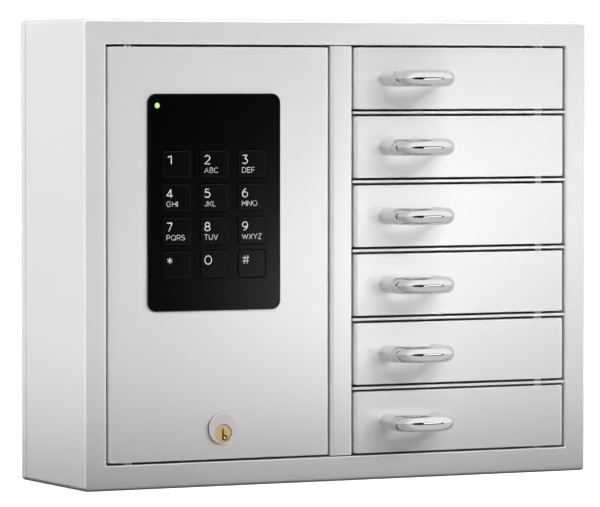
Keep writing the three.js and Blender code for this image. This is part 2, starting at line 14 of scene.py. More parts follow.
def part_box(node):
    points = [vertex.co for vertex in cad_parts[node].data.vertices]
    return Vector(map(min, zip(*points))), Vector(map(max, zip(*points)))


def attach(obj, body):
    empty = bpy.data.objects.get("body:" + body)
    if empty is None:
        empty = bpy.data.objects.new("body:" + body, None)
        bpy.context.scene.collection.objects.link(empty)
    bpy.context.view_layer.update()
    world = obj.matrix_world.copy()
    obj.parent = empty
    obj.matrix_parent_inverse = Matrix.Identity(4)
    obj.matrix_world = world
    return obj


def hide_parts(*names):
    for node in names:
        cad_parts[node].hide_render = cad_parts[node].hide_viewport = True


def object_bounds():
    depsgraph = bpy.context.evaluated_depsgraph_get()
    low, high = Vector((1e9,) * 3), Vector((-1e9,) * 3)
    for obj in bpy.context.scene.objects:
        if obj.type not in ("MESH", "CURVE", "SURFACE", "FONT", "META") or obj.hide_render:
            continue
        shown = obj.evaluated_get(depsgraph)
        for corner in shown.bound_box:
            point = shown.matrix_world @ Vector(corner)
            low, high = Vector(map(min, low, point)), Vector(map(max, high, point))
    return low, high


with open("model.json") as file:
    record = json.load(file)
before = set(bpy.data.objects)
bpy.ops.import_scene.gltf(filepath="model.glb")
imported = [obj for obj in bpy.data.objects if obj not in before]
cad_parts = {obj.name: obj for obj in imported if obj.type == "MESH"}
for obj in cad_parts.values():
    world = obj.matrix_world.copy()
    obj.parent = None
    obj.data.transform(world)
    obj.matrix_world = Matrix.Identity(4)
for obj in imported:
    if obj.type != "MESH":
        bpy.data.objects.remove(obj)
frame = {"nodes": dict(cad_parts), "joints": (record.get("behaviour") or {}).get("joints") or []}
CAD_LOW, CAD_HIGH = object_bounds()
JOINTS = {joint["name"]: joint for joint in frame["joints"]}

# ---------------- dimensions

MM = 0.001
SHEET = 1.5 * MM
CORNER_STEPS = 8
BEND_STEPS = 6
ROUND_SIDES = 64
KEY_DOORS = range(1, 7)
SHELVES = range(1, 6)
CELLS = range(1, 5)

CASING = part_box("front_casing")
BACK_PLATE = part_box("back_plate")
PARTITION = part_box("centre_partition")
SERVICE_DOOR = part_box("service_door")
FRONT = CASING[0].y
DOOR_GAP = 1.2 * MM
OPENING_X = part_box("key_door_1")[1].x + DOOR_GAP
OPENING_Z = SERVICE_DOOR[1].z + DOOR_GAP
FLANGE = 12 * MM
POST_HALF = 7.5 * MM
POST_GAP = 0.6 * MM

CASE_BEND = 1.5 * MM
POST_BEND = 2.2 * MM
CASE_CORNER = 2.6 * MM
FRAME_BEND = 1.6 * MM
FRAME_LIP = 0.7 * MM
DOOR_BEND = 2.2 * MM
DOOR_EDGE = 0.3 * MM
DOOR_TAPER = 0.25 * MM
DOOR_CORNER = 1.0 * MM
MIN_RADIUS = 0.05 * MM
PIN_HOLE = 3.1 * MM
SEAT = FRONT - 0.1 * MM

SENSOR_WIDTH = 36
FOCAL_LENGTH = 270.04
CAMERA_PLACE = (-1.25008, -2.52504, 0.10304)
CAMERA_TURN = (87.81, 0, -26.69)

SKY_LEVEL = 0.95
GROUND_LEVEL = 0.6
DARK_PATCH = {"centre": (0.13, -0.99, 0.0), "radius": 0.64, "squeeze": 2.5, "level": 0.005}
FRONT_GAIN = 1.57
BRIGHT_SIDE = (0.46, -0.89, 0.0)
HORIZON = 0.1


# ---------------- mesh building blocks

def arc(x, z, radius, start, end, steps):
    """Points on an arc, from one angle to the other in degrees."""
    angles = [math.radians(start + (end - start) * i / steps) for i in range(steps + 1)]
    return [(x + radius * math.cos(a), z + radius * math.sin(a)) for a in angles]


def circle(x, z, radius, steps=ROUND_SIDES):
    return arc(x, z, radius, 0, 360, steps)[:-1]


def rectangle(x0, x1, z0, z1, radius, steps=CORNER_STEPS):
    r = max(radius, MIN_RADIUS)
    return (arc(x1 - r, z1 - r, r, 0, 90, steps) + arc(x0 + r, z1 - r, r, 90, 180, steps)
            + arc(x0 + r, z0 + r, r, 180, 270, steps) + arc(x1 - r, z0 + r, r, 270, 360, steps))


def inside(low, high, inset, radius):
    """A box's outline from the front, this far in from its four sides, with rounded corners."""
    return rectangle(low.x + inset, high.x - inset, low.z + inset, high.z - inset, radius)


def around(x, z, half_x, half_z, front, back):
    """The lowest and highest corner of a box around x and z."""
    return (x - half_x, front, z - half_z), (x + half_x, back, z + half_z)


def bend_inset(depth, radius):
    """How far a rounded edge has turned in from the side, at this depth behind the front face."""
    if depth >= radius:
        return 0.0
    return radius - math.sqrt(radius ** 2 - (radius - depth) ** 2)


def bend_depths(*radii):
    """Depths behind the front face at which to place the rings of an edge with these radii."""
    turns = [math.radians(90 * i / BEND_STEPS) for i in range(BEND_STEPS + 1)]
    return sorted({round(r * (1 - math.sin(t)), 9) for r in radii for t in turns})


def middle_of(node):
    """The middle of a CAD node's box."""
    low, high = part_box(node)
    return (low + high) / 2


AXES = {
    "x": lambda along, u, v: (along, u, v),
    "y": lambda along, u, v: (u, along, v),
    "z": lambda along, u, v: (u, v, along),
}


class Builder:
    """Collects rings of points into one mesh. An outline lies across the axis: (x, z) when the axis is y."""

    def __init__(self):
        self.mesh = bmesh.new()

    def ring(self, outline, along, axis="y"):
        return [self.mesh.verts.new(AXES[axis](along, u, v)) for u, v in outline]

    def loft(self, rings, closed=False):
        pairs = list(zip(rings, rings[1:]))
        if closed:
            pairs.append((rings[-1], rings[0]))
        for a, b in pairs:
            for i in range(len(a)):
                j = (i + 1) % len(a)
                self.mesh.faces.new((a[i], a[j], b[j], b[i]))

    def solid(self, rings):
        """Joins the rings and closes both ends."""
        self.loft(rings)
        self.cap(rings[0])
        self.cap(rings[-1])

    def cap(self, outer, *holes):
        if not holes:
            self.mesh.faces.new(outer)
            return
        loops = [outer, *holes]
        corners = [vert for loop in loops for vert in loop]
        for triangle in tessellate_polygon([[vert.co for vert in loop] for loop in loops]):
            self.mesh.faces.new([corners[i] for i in triangle])

    def result(self, name):
        bmesh.ops.recalc_face_normals(self.mesh, faces=self.mesh.faces)
        data = bpy.data.meshes.new(name)
        self.mesh.to_mesh(data)
        self.mesh.free()
        made = bpy.data.objects.new(name, data)
        bpy.context.scene.collection.objects.link(made)
        return made


def prism(name, outline, start, end, *holes, axis="y"):
    """A flat piece with an outline across its axis, from start to end, and holes right through it."""
    build = Builder()
    starts = []
    ends = []
    for loop in (outline, *holes):
        rings = [build.ring(loop, start, axis), build.ring(loop, end, axis)]
        build.loft(rings)
        starts.append(rings[0])
        ends.append(rings[1])
    build.cap(*starts)
    build.cap(*ends)
    return build.result(name)


def blocks(name, corners, edge=0.2 * MM):
    """Boxes with rounded edges, in one mesh. Each is given by its lowest and highest corner."""
    build = Builder()
    for low, high in corners:
        cube = bmesh.new()
        bmesh.ops.create_cube(cube, size=1)
        size = Vector(high) - Vector(low)
        middle = (Vector(high) + Vector(low)) / 2
        place = Matrix.Translation(middle) @ Matrix.Diagonal((*size, 1))
        bmesh.ops.transform(cube, matrix=place, verts=cube.verts)
        if edge > 0:
            bmesh.ops.bevel(cube, geom=cube.edges, offset=edge, segments=2, affect="EDGES", profile=0.5)
        data = bpy.data.meshes.new(name)
        cube.to_mesh(data)
        cube.free()
        build.mesh.from_mesh(data)
        bpy.data.meshes.remove(data)
    return build.result(name)


def block(name, low, high, edge=0.2 * MM):
    return blocks(name, [(low, high)], edge)


def sleeve(name, centre, axis, profile):
    """A closed sleeve of rounded rectangles, each given by half width, half height, corner and distance."""
    build = Builder()
    middle = Vector(centre)
    rings = []
    for half_u, half_v, corner, along in profile:
        outline = rectangle(-half_u, half_u, -half_v, half_v, corner, 4)
        rings.append([build.mesh.verts.new(middle + Vector(AXES[axis](along, u, v))) for u, v in outline])
    build.loft(rings, closed=True)
    return build.result(name)


def rounded(points, radius, steps=6):
    """The corners of a path, softened."""
    path = [Vector(point) for point in points]
    out = [path[0]]
    for before, corner, after in zip(path, path[1:], path[2:]):
        reach = min(radius, (corner - before).length / 2, (after - corner).length / 2)
        start = corner + (before - corner).normalized() * reach
        end = corner + (after - corner).normalized() * reach
        for i in range(steps + 1):
            t = i / steps
            out.append(start * (1 - t) ** 2 + corner * 2 * t * (1 - t) + end * t ** 2)
    return out + [path[-1]]


def turned(name, centre, axis, profile, sides=ROUND_SIDES):
    """A turned piece. The profile's points are (radius, distance along the axis from the centre)."""
    build = Builder()
    rings = []
    for radius, along in profile:
        points = [Vector(AXES[axis](along, u, v)) + Vector(centre) for u, v in circle(0, 0, radius, sides)]
        rings.append([build.mesh.verts.new(point) for point in points])
    build.solid(rings)
    return build.result(name)


def sweep(build, points, radius, sides):
    """Adds a round bar along the points. A path that ends where it starts becomes a closed loop."""
    path = [Vector(point) for point in points]
    closed = (path[0] - path[-1]).length < MIN_RADIUS / 10
    if closed:
        path.pop()
    count = len(path)
    rings = []
    side = None
    for i, point in enumerate(path):
        before = path[i - 1] if closed or i > 0 else point
        after = path[(i + 1) % count] if closed or i < count - 1 else point
        tangent = (after - before).normalized()
        side = side or tangent.orthogonal().normalized()
        side = (side - tangent * side.dot(tangent)).normalized()
        up = tangent.cross(side)
        places = [point + side * u + up * v for u, v in circle(0, 0, radius, sides)]
        rings.append([build.mesh.verts.new(place) for place in places])
    if closed:
        build.loft(rings, closed)
    else:
        build.solid(rings)


def tube(name, points, radius, sides=24):
    build = Builder()
    sweep(build, points, radius, sides)
    return build.result(name)


def bake_modifiers(made):
    """Replaces a piece's mesh by what its modifiers make of it."""
    graph = bpy.context.evaluated_depsgraph_get()
    data = bpy.data.meshes.new_from_object(made.evaluated_get(graph))
    made.modifiers.clear()
    made.data = data


def carve(made, cutters, operation="DIFFERENCE"):
    """Cuts the cutters out of a mesh, or joins them to it, and removes them."""
    for cutter in cutters:
        modifier = made.modifiers.new("carve", "BOOLEAN")
        modifier.operation = operation
        modifier.solver = "EXACT"
        modifier.object = cutter
    bake_modifiers(made)
    for cutter in cutters:
        bpy.data.objects.remove(cutter)


def dress(made, body, slot, look, *replaced, smooth=32):
    """Gives a finished mesh its material and smooth shading, and fastens it to its body."""
    made.data.materials.clear()
    made.data.materials.append(look)
    made.data.shade_smooth()
    made.data.set_sharp_from_angle(angle=math.radians(smooth))
    modifier = made.modifiers.new("weighted_normals", "WEIGHTED_NORMAL")
    modifier.keep_sharp = True
    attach(made, body)
    if replaced:
        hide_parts(*replaced)
    return made


def keep(node, look, edge=0.25 * MM):
    """Shows a CAD node as it is, with a material and slightly broken edges."""
    made = frame["nodes"][node]
    made.data.materials.clear()
    made.data.materials.append(look)
    weld = made.modifiers.new("weld", "WELD")
    weld.merge_threshold = 0.01 * MM
    flat = made.modifiers.new("flat_faces", "DECIMATE")
    flat.decimate_type = "DISSOLVE"
    flat.angle_limit = math.radians(1)
    bevel = made.modifiers.new("edges", "BEVEL")
    bevel.width = edge
    bevel.segments = 2
    bevel.limit_method = "ANGLE"
    bevel.angle_limit = math.radians(35)
    normals = made.modifiers.new("weighted_normals", "WEIGHTED_NORMAL")
    normals.keep_sharp = True
    return made


# ---------------- materials

NOISE_LOW = 0.3
NOISE_HIGH = 0.7


def surface(name, color, roughness, metallic=0.0, **sockets):
    """A material, its shader and its node tree, with the constant values on the shader's own sockets."""
    look = bpy.data.materials.new(name)
    look.use_nodes = True
    shader = look.node_tree.nodes["Principled BSDF"]
    shader.inputs["Base Color"].default_value = (*color, 1)
    shader.inputs["Roughness"].default_value = roughness
    shader.inputs["Metallic"].default_value = metallic
    for socket, value in sockets.items():
        shader.inputs[socket.replace("_", " ")].default_value = value
    return look, shader, look.node_tree


def add_node(tree, kind, inputs, operation=None):
    """A new node. Each input is linked if it is given a socket, and set if it is given a value."""
    node = tree.nodes.new(kind)
    if operation:
        node.operation = operation
    for key, value in inputs.items():
        if isinstance(value, bpy.types.NodeSocket):
            tree.links.new(value, node.inputs[key])
        else:
            node.inputs[key].default_value = value
    return node


def noise(tree, scale, detail=2.0, stretch=None):
    """Noise in the piece's own coordinates: grains per metre, and a stretch for each axis."""
    source = tree.nodes.new("ShaderNodeTexCoord").outputs["Object"]
    if stretch:
        source = add_node(tree, "ShaderNodeMapping", {"Vector": source, "Scale": stretch}).outputs["Vector"]
    inputs = {"Vector": source, "Scale": scale, "Detail": detail}
    return add_node(tree, "ShaderNodeTexNoise", inputs).outputs["Fac"]


def add_bump(tree, shader, height, strength, distance):
    inputs = {"Height": height, "Strength": strength, "Distance": distance}
    bump = add_node(tree, "ShaderNodeBump", inputs)
    tree.links.new(bump.outputs["Normal"], shader.inputs["Normal"])


def vary(tree, socket, value, low, high):
    """Drives a number on the shader with the noise, between low and high."""
    spread = add_node(tree, "ShaderNodeMapRange", {
        "Value": value, "From Min": NOISE_LOW, "From Max": NOISE_HIGH, "To Min": low, "To Max": high})
    tree.links.new(spread.outputs["Result"], socket)


def tint(tree, socket, value, low, high):
    """Drives a colour on the shader with the noise, between two colours."""
    ramp = add_node(tree, "ShaderNodeValToRGB", {"Fac": value})
    for stop, position, color in zip(ramp.color_ramp.elements, (NOISE_LOW, NOISE_HIGH), (low, high)):
        stop.position = position
        stop.color = (*color, 1)
    tree.links.new(ramp.outputs["Color"], socket)


def grained(name, color, roughness, metallic, grain, bump, gloss, **sockets):
    """A material with one grain: the noise's settings, the bump's strength and depth, and the roughness."""
    look, shader, tree = surface(name, color, roughness, metallic, **sockets)
    texture = noise(tree, *grain)
    add_bump(tree, shader, texture, *bump)
    vary(tree, shader.inputs["Roughness"], texture, *gloss)
    return look


def patchy(name, color, roughness, metallic, grain, bump, patches, tones, gloss):
    """A metal finish with a fine grain, whose tone and gloss also vary in wider patches."""
    look, shader, tree = surface(name, color, roughness, metallic)
    add_bump(tree, shader, noise(tree, *grain), *bump)
    cloud = noise(tree, *patches)
    tint(tree, shader.inputs["Base Color"], cloud, *tones)
    vary(tree, shader.inputs["Roughness"], cloud, *gloss)
    return look


def brass():
    """Turned brass, with small warmer and darker spots."""
    look, shader, tree = surface("brass", (0.86, 0.62, 0.30), 0.36, 1.0)
    turning = noise(tree, 700, 2)
    add_bump(tree, shader, turning, 0.01, 0.01 * MM)
    tint(tree, shader.inputs["Base Color"], noise(tree, 300, 2), (0.82, 0.58, 0.28), (0.90, 0.66, 0.33))
    vary(tree, shader.inputs["Roughness"], turning, 0.33, 0.39)
    return look


def print_ink():
    """White print on the keys."""
    look, shader, tree = surface("print_ink", (0.5, 0.505, 0.51), 0.5)
    add_bump(tree, shader, noise(tree, 5000, 2), 0.05, 0.01 * MM)
    return look


def lit_lens():
    """The status light's lens, lit pale green."""
    look, shader, tree = surface("lit_lens", (0.06, 0.12, 0.04), 0.25, 0.0, Emission_Strength=0.95)
    shader.inputs["Emission Color"].default_value = (0.55, 0.84, 0.36, 1)
    vary(tree, shader.inputs["Roughness"], noise(tree, 2500, 2), 0.15, 0.25)
    return look


def circuit_board():
    """Green solder mask over a faint pattern of tracks."""
    look, shader, tree = surface("circuit_board", (0.012, 0.11, 0.045), 0.32)
    tracks = noise(tree, 600, 1, (1, 1, 0.5))
    tint(tree, shader.inputs["Base Color"], tracks, (0.010, 0.075, 0.032), (0.013, 0.092, 0.040))
    add_bump(tree, shader, tracks, 0.1, 0.03 * MM)
    return look


def component(name, color, roughness, metallic=0.0):
    """A small electronic or mechanical component, with a slightly uneven gloss."""
    gloss = (roughness * 0.85, roughness * 1.15)
    return grained(name, color, roughness, metallic, (1200, 3), (0.08, 0.02 * MM), gloss)


COAT = patchy(
    "powder_coat", (0.78, 0.78, 0.78), 0.28, 0.5, (700, 2), (0.01, 0.01 * MM), (9, 2),
    ((0.775, 0.775, 0.775), (0.785, 0.785, 0.785)), (0.275, 0.285))
ZINC = patchy(
    "zinc_plate", (0.62, 0.64, 0.66), 0.35, 0.95, (700, 3, (1, 1, 0.06)), (0.05, 0.05 * MM), (60, 4),
    ((0.56, 0.575, 0.59), (0.68, 0.69, 0.70)), (0.28, 0.42))
CHROME = grained(
    "chrome", (0.55, 0.555, 0.56), 0.06, 1.0, (500, 2, (0.12, 1, 1)), (0.006, 0.01 * MM), (0.045, 0.075))
STEEL = grained(
    "bright_steel", (0.5, 0.505, 0.51), 0.24, 1.0, (1500, 2, (1, 1, 0.15)), (0.05, 0.03 * MM), (0.19, 0.30))
NICKEL = grained(
    "nickel_plate", (0.73, 0.71, 0.735), 0.42, 1.0, (900, 2), (0.02, 0.01 * MM), (0.39, 0.45))
BRASS = brass()
PANEL = grained(
    "black_panel", (0.0005, 0.0005, 0.0005), 0.15, 0.0, (3000, 2), (0.03, 0.01 * MM), (0.155, 0.175),
    Specular_IOR_Level=0.24)
KEYCAP = grained(
    "key_plastic", (0.0006, 0.0006, 0.0006), 0.17, 0.0, (3500, 2), (0.03, 0.01 * MM), (0.16, 0.19),
    Specular_IOR_Level=0.25)
MOULDING = grained(
    "moulded_black", (0.012, 0.012, 0.013), 0.5, 0.0, (1600, 4), (0.25, 0.03 * MM), (0.42, 0.58))
INK = print_ink()
LENS = lit_lens()
BOARD = circuit_board()
WRAP = component("cell_wrap", (0.035, 0.04, 0.045), 0.28)
COPPER = component("copper_winding", (0.55, 0.22, 0.09), 0.3, 0.9)
CHIP = component("chip_body", (0.015, 0.015, 0.016), 0.45)
SOCKET = component("connector_shell", (0.75, 0.73, 0.66), 0.45)
RELAY = component("relay_shell", (0.02, 0.12, 0.35), 0.35)
TIN = component("tinned_lead", (0.75, 0.75, 0.74), 0.3, 0.95)
SLEEVING = component("capacitor_sleeve", (0.03, 0.035, 0.06), 0.35)
RED_WIRE = component("red_wire", (0.45, 0.02, 0.015), 0.4)
BLACK_WIRE = component("black_wire", (0.02, 0.02, 0.02), 0.45)


# ---------------- case

def framed_shell():
    """The front casing: four walls, the framed face with its rounded edges, and the opening's flanges."""
    low, high = CASING
    build = Builder()

    def outer(inset, y):
        return build.ring(inside(low, high, inset, CASE_CORNER - inset), y)

    def opening(wide, tall, y):
        half_x, half_z = OPENING_X + wide, OPENING_Z + tall
        return build.ring(rectangle(-half_x, half_x, -half_z, half_z, FRAME_BEND / 2 + tall), y)

    edge = 0.6 * MM
    outside = [outer(bend_inset(d, CASE_BEND), FRONT + d) for d in bend_depths(CASE_BEND)]
    outside += [outer(0, high.y - edge), outer(edge, high.y), outer(SHEET, high.y)]
    inside_face = FRONT + SHEET
    outside.append(outer(SHEET, inside_face))
    build.loft(outside)
    flange = [
        opening(bend_inset(d, FRAME_BEND), bend_inset(d, FRAME_LIP), FRONT + d)
        for d in bend_depths(FRAME_BEND, FRAME_LIP)]
    flange += [opening(0, 0, FRONT + FLANGE), opening(SHEET, SHEET, FRONT + FLANGE)]
    flange.append(opening(SHEET, SHEET, inside_face))
    build.loft(flange)
    build.cap(outside[0], flange[0])
    build.cap(outside[-1], flange[-1])
    dress(build.result("casing_shell"), "cabinet", "powder_coat", COAT, "front_casing")


def back_tray():
    """The back plate: a flat tray with a rounded rim, a lip inside the casing and four wall holes."""
    low, high = BACK_PLATE
    rim_front = CASING[1].y + 0.6 * MM
    lip = SHEET + 0.4 * MM
    edge = 1.0 * MM
    profile = [(bend_inset(d, edge), -d) for d in bend_depths(edge)]
    profile += [
        (0, rim_front + 0.5 * MM), (0.15 * MM, rim_front + 0.15 * MM), (0.5 * MM, rim_front),
        (lip, rim_front), (lip, low.y + 0.4 * MM), (lip + 0.4 * MM, low.y), (lip + SHEET, low.y),
        (lip + SHEET, -SHEET)]
    build = Builder()
    build.solid([build.ring(inside(low, high, inset, CASE_CORNER - inset), y) for inset, y in profile])
    made = build.result("back_tray")
    holes = [circle(x, z, 3.25 * MM) for x in (-125 * MM, 125 * MM) for z in (-104 * MM, 104 * MM)]
    carve(made, [prism("wall_hole", hole, -SHEET - 4 * MM, 2 * MM) for hole in holes])
    dress(made, "cabinet", "powder_coat", COAT, "back_plate")


def partition_plan():
    """The partition's plan, as (x, y): the post's rounded front, and the wall that runs back from it."""
    inner = POST_BEND - SHEET
    left, right = -POST_HALF, POST_HALF
    back = PARTITION[1].y
    outer = [(left, FRONT + FLANGE)]
    outer += arc(left + POST_BEND, FRONT + POST_BEND, POST_BEND, 180, 270, BEND_STEPS)
    outer += arc(right - POST_BEND, FRONT + POST_BEND, POST_BEND, 270, 360, BEND_STEPS)
    outer += [(right, back), (PARTITION[0].x, back), (PARTITION[0].x, back - SHEET)]
    outer += [(right - SHEET, back - SHEET)]
    outer += arc(right - POST_BEND, FRONT + POST_BEND, inner, 360, 270, BEND_STEPS)
    outer += arc(left + POST_BEND, FRONT + POST_BEND, inner, 270, 180, BEND_STEPS)
    outer += [(left + SHEET, FRONT + FLANGE)]
    return outer


def divider():
    """The centre partition, with its bolt windows. Its post is shorter than the wall behind it."""
    low, high = PARTITION
    made = prism("centre_divider", partition_plan(), low.z, high.z, axis="z")
    reach = 5 * MM
    post_top = OPENING_Z - POST_GAP
    cutters = []
    for side in (-1, 1):
        z0, z1 = sorted((side * post_top, side * (high.z + reach)))
        start = (low.x - reach, FRONT - reach, z0)
        end = (high.x + reach, FRONT + FLANGE, z1)
        cutters.append(block("notch", start, end, 0))
    for number in KEY_DOORS:
        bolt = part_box(f"latch_bolt_{number}")
        slack = Vector((reach, 0.8 * MM, 0.8 * MM))
        start = Vector((POST_HALF - SHEET, bolt[0].y, bolt[0].z)) - slack
        end = Vector((POST_HALF, bolt[1].y, bolt[1].z)) + slack
        cutters.append(block("window", start, end, 0))
    carve(made, cutters)
    dress(made, "cabinet", "powder_coat", COAT, "centre_partition")


# ---------------- doors

def door_pan(name, low, high, holes):
    """A folded door: rounded upright edges, crisp top and bottom edges, and four flanges turned back."""
    build = Builder()

    def ring(x_inset, z_inset, y, corner):
        return build.ring(rectangle(
            low.x + x_inset, high.x - x_inset, low.z + z_inset, high.z - z_inset, corner), y)

    flange_end = FRONT + FLANGE
    inside_face = FRONT + SHEET
    outside = [
        ring(bend_inset(d, DOOR_BEND), DOOR_TAPER + bend_inset(d, DOOR_EDGE), FRONT + d, DOOR_CORNER)
        for d in bend_depths(DOOR_BEND, DOOR_EDGE)]
    outside += [ring(0, 0, flange_end, DOOR_CORNER), ring(SHEET, SHEET, flange_end, MIN_RADIUS)]
    outside.append(ring(SHEET, SHEET, inside_face, MIN_RADIUS))
    build.loft(outside)
    front_loops = []
    back_loops = []
    for outline in holes:
        loops = [build.ring(outline, FRONT), build.ring(outline, inside_face)]
        build.loft(loops)
        front_loops.append(loops[0])
        back_loops.append(loops[1])
    build.cap(outside[0], *front_loops)
    build.cap(outside[-1], *back_loops)
    return build.result(name)


def pivot_cutter(joint, low, high):
    """A cutter for the hole that a door's pin runs in."""
    reach = 2 * MM
    x, y = JOINTS[joint]["pos_m"][:2]
    return turned("pivot", (x, y, 0), "z", [(PIN_HOLE, low.z - reach), (PIN_HOLE, high.z + reach)])


def catch_plan(back):
    """The hook welded inside a key door, as (x, y): an arm, and a lip that the bolt slides in front of."""
    arm = 18 * MM
    lip = 10 * MM
    bend = 2 * MM
    plan = [(arm, FRONT + SHEET / 2), (arm + SHEET, FRONT + SHEET / 2)]
    plan += arc(arm + SHEET - bend, back - bend, bend, 0, 90, BEND_STEPS)
    plan += [(lip, back), (lip, back - SHEET)]
    plan += arc(arm + SHEET - bend, back - bend, bend - SHEET, 90, 0, BEND_STEPS)
    return plan


def key_door(number):
    """One of the small doors, with the hook that its bolt catches."""
    low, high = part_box(f"key_door_{number}")
    made = door_pan(f"key_door_panel_{number}", low, high, [])
    middle = (low.z + high.z) / 2
    half = 8 * MM
    hook = prism("catch", catch_plan(high.y), middle - half, middle + half, axis="z")
    carve(made, [hook], "UNION")
    carve(made, [pivot_cutter(f"key_door_{number}_hinge", low, high)])
    dress(made, f"key_door_{number}", "powder_coat", COAT, f"key_door_{number}")


def service_door():
    """The left door, with its openings for the pad's body and for the lock."""
    low, high = SERVICE_DOOR
    slack = 0.5 * MM
    lock = middle_of("lock_housing")
    holes = [inside(*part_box("keypad_rear_cover"), -slack, 1 * MM), circle(lock.x, lock.z, 9.1 * MM)]
    made = door_pan("service_door_panel", low, high, holes)
    carve(made, [pivot_cutter("service_door_hinge", low, high)])
    dress(made, "service_door", "powder_coat", COAT, "service_door")


HANDLE_SPACING = 33.2 * MM
HANDLE_SHIFT = 0.5 * MM
HANDLE_REACH = 23.2 * MM
HANDLE_RADIUS = 5.1 * MM
HANDLE_BEND = 11 * MM


def bow_path(centre_x, z):
    """The bow's centre line, from the foot of one leg to the other, with a straight front bar."""
    half = HANDLE_SPACING / 2
    out = HANDLE_REACH - HANDLE_BEND
    bar = half - HANDLE_BEND
    side = [(half, -out * i / 8) for i in range(9)]
    side += arc(bar, -out, HANDLE_BEND, 0, -90, 14)[1:]
    side += [(bar * (1 - i / 3), -HANDLE_REACH) for i in range(1, 4)]
    left = [(centre_x - x, FRONT + y, z) for x, y in side]
    right = [(centre_x + x, FRONT + y, z) for x, y in reversed(side[:-1])]
    return left + right


def handle(number):
    """A chrome bow on its key door."""
    middle = middle_of(f"door_handle_{number}")
    made = tube(f"bow_handle_{number}", bow_path(middle.x + HANDLE_SHIFT, middle.z), HANDLE_RADIUS, 48)
    dress(made, f"key_door_{number}", "chrome", CHROME, f"door_handle_{number}", smooth=60)


def hinge_pin(name, node):
    """A headed pin or rod, turned from bright steel."""
    low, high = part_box(node)
    middle = middle_of(node)
    pin = 2.8 * MM
    head = 4.5 * MM
    dome = 0.5 * MM
    thick = 1.8 * MM
    bottom, top = low.z - middle.z, high.z - middle.z
    lower_end = [(head - dome, bottom), (head, bottom + dome), (head, bottom + thick), (pin, bottom + thick)]
    upper_end = [(pin, top - thick), (head, top - thick), (head, top - dome), (head - dome, top)]
    plain_bottom = [(pin - dome, bottom), (pin, bottom + dome)]
    plain_top = [(pin, top - dome), (pin - dome, top)]
    start = plain_bottom if "upper" in node else lower_end
    end = plain_top if "lower" in node else upper_end
    made = turned(name, middle, "z", start + end)
    dress(made, "cabinet", "pin_steel", STEEL, node)


# ---------------- code pad

PAD_KEYS = {
    "key_1": ("1", ""), "key_2": ("2", "ABC"), "key_3": ("3", "DEF"),
    "key_4": ("4", "GHI"), "key_5": ("5", "JKL"), "key_6": ("6", "MNO"),
    "key_7": ("7", "PQRS"), "key_8": ("8", "TUV"), "key_9": ("9", "WXYZ"),
    "key_star": ("*", ""), "key_0": ("0", ""), "key_hash": ("#", ""),
}
KEY_INSET_LEFT = 1.1 * MM
KEY_INSET_RIGHT = 1.7 * MM
KEY_INSET_HIGH = 1.5 * MM
KEY_SLACK = 0.5 * MM
KEY_CORNER = 2 * MM
BEZEL_BACK = -93.4 * MM
SKIRT_FRONT = -93.1 * MM


def key_face(name):
    """The lowest and highest corner of the part of a key that shows in the bezel."""
    low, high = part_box(name)
    low += Vector((KEY_INSET_LEFT, 0, KEY_INSET_HIGH))
    high -= Vector((KEY_INSET_RIGHT, 0, KEY_INSET_HIGH))
    return low, high


def bezel():
    """The black panel: a plate on the door, its hollow body behind, and holes for the keys and the light."""
    low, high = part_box("keypad_bezel")
    body_low, body_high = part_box("keypad_rear_cover")
    wall = 1.6 * MM
    corner = 5.5 * MM
    body_corner = 1.5 * MM
    edge = 0.6 * MM
    build = Builder()

    def plate(inset, y):
        return build.ring(inside(low, high, inset, corner - inset), y)

    def body(inset, y):
        return build.ring(inside(body_low, body_high, inset, body_corner - inset), y)

    rings = [plate(bend_inset(d, edge), low.y + d) for d in bend_depths(edge)]
    rings += [plate(0, SEAT), body(0, SEAT), body(0, high.y), body(wall, high.y), body(wall, BEZEL_BACK)]
    build.loft(rings)
    front_loops = []
    back_loops = []
    chamfer = 0.25 * MM
    outlines = []
    for name in PAD_KEYS:
        key_low, key_high = key_face(name)
        outlines.append(lambda grow, a=key_low, b=key_high: inside(a, b, -grow, KEY_CORNER + grow))
    lens = middle_of("status_led_lens")
    outlines.append(lambda grow: circle(lens.x, lens.z, 1.2 * MM + grow, 32))
    for outline in outlines:
        loops = [build.ring(outline(KEY_SLACK + chamfer), low.y)]
        loops += [build.ring(outline(KEY_SLACK), y) for y in (low.y + chamfer, BEZEL_BACK)]
        build.loft(loops)
        front_loops.append(loops[0])
        back_loops.append(loops[-1])
    build.cap(rings[0], *front_loops)
    build.cap(rings[-1], *back_loops)
    dress(build.result("pad_bezel"), "service_door", "black_panel", PANEL, "keypad_bezel")


def key_cap(name):
    """A key: the cap that shows, and the wider skirt that keeps it behind the bezel."""
    low, high = key_face(name)
    box_low, box_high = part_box(name)
    edge = 0.4 * MM
    build = Builder()

    def ring(inset, y):
        return build.ring(inside(low, high, inset, KEY_CORNER - inset), y)

    rings = [ring(bend_inset(d, edge), low.y + d) for d in bend_depths(edge)]
    rings.append(ring(0, SKIRT_FRONT))
    rings += [build.ring(inside(box_low, box_high, 0, KEY_CORNER), y) for y in (SKIRT_FRONT, box_high.y)]
    build.solid(rings)
    dress(build.result(f"cap_{name}"), name, "key_plastic", KEYCAP, name)


def line(*points):
    """Straight strokes from point to point."""
    return [list(pair) for pair in zip(points, points[1:])]


def bow(x, z, wide, tall, start, end):
    """One curved stroke: a part of an ellipse, from one angle to the other in degrees."""
    return [[(x + wide * u, z + tall * v) for u, v in arc(0, 0, 1, start, end, 20)]]


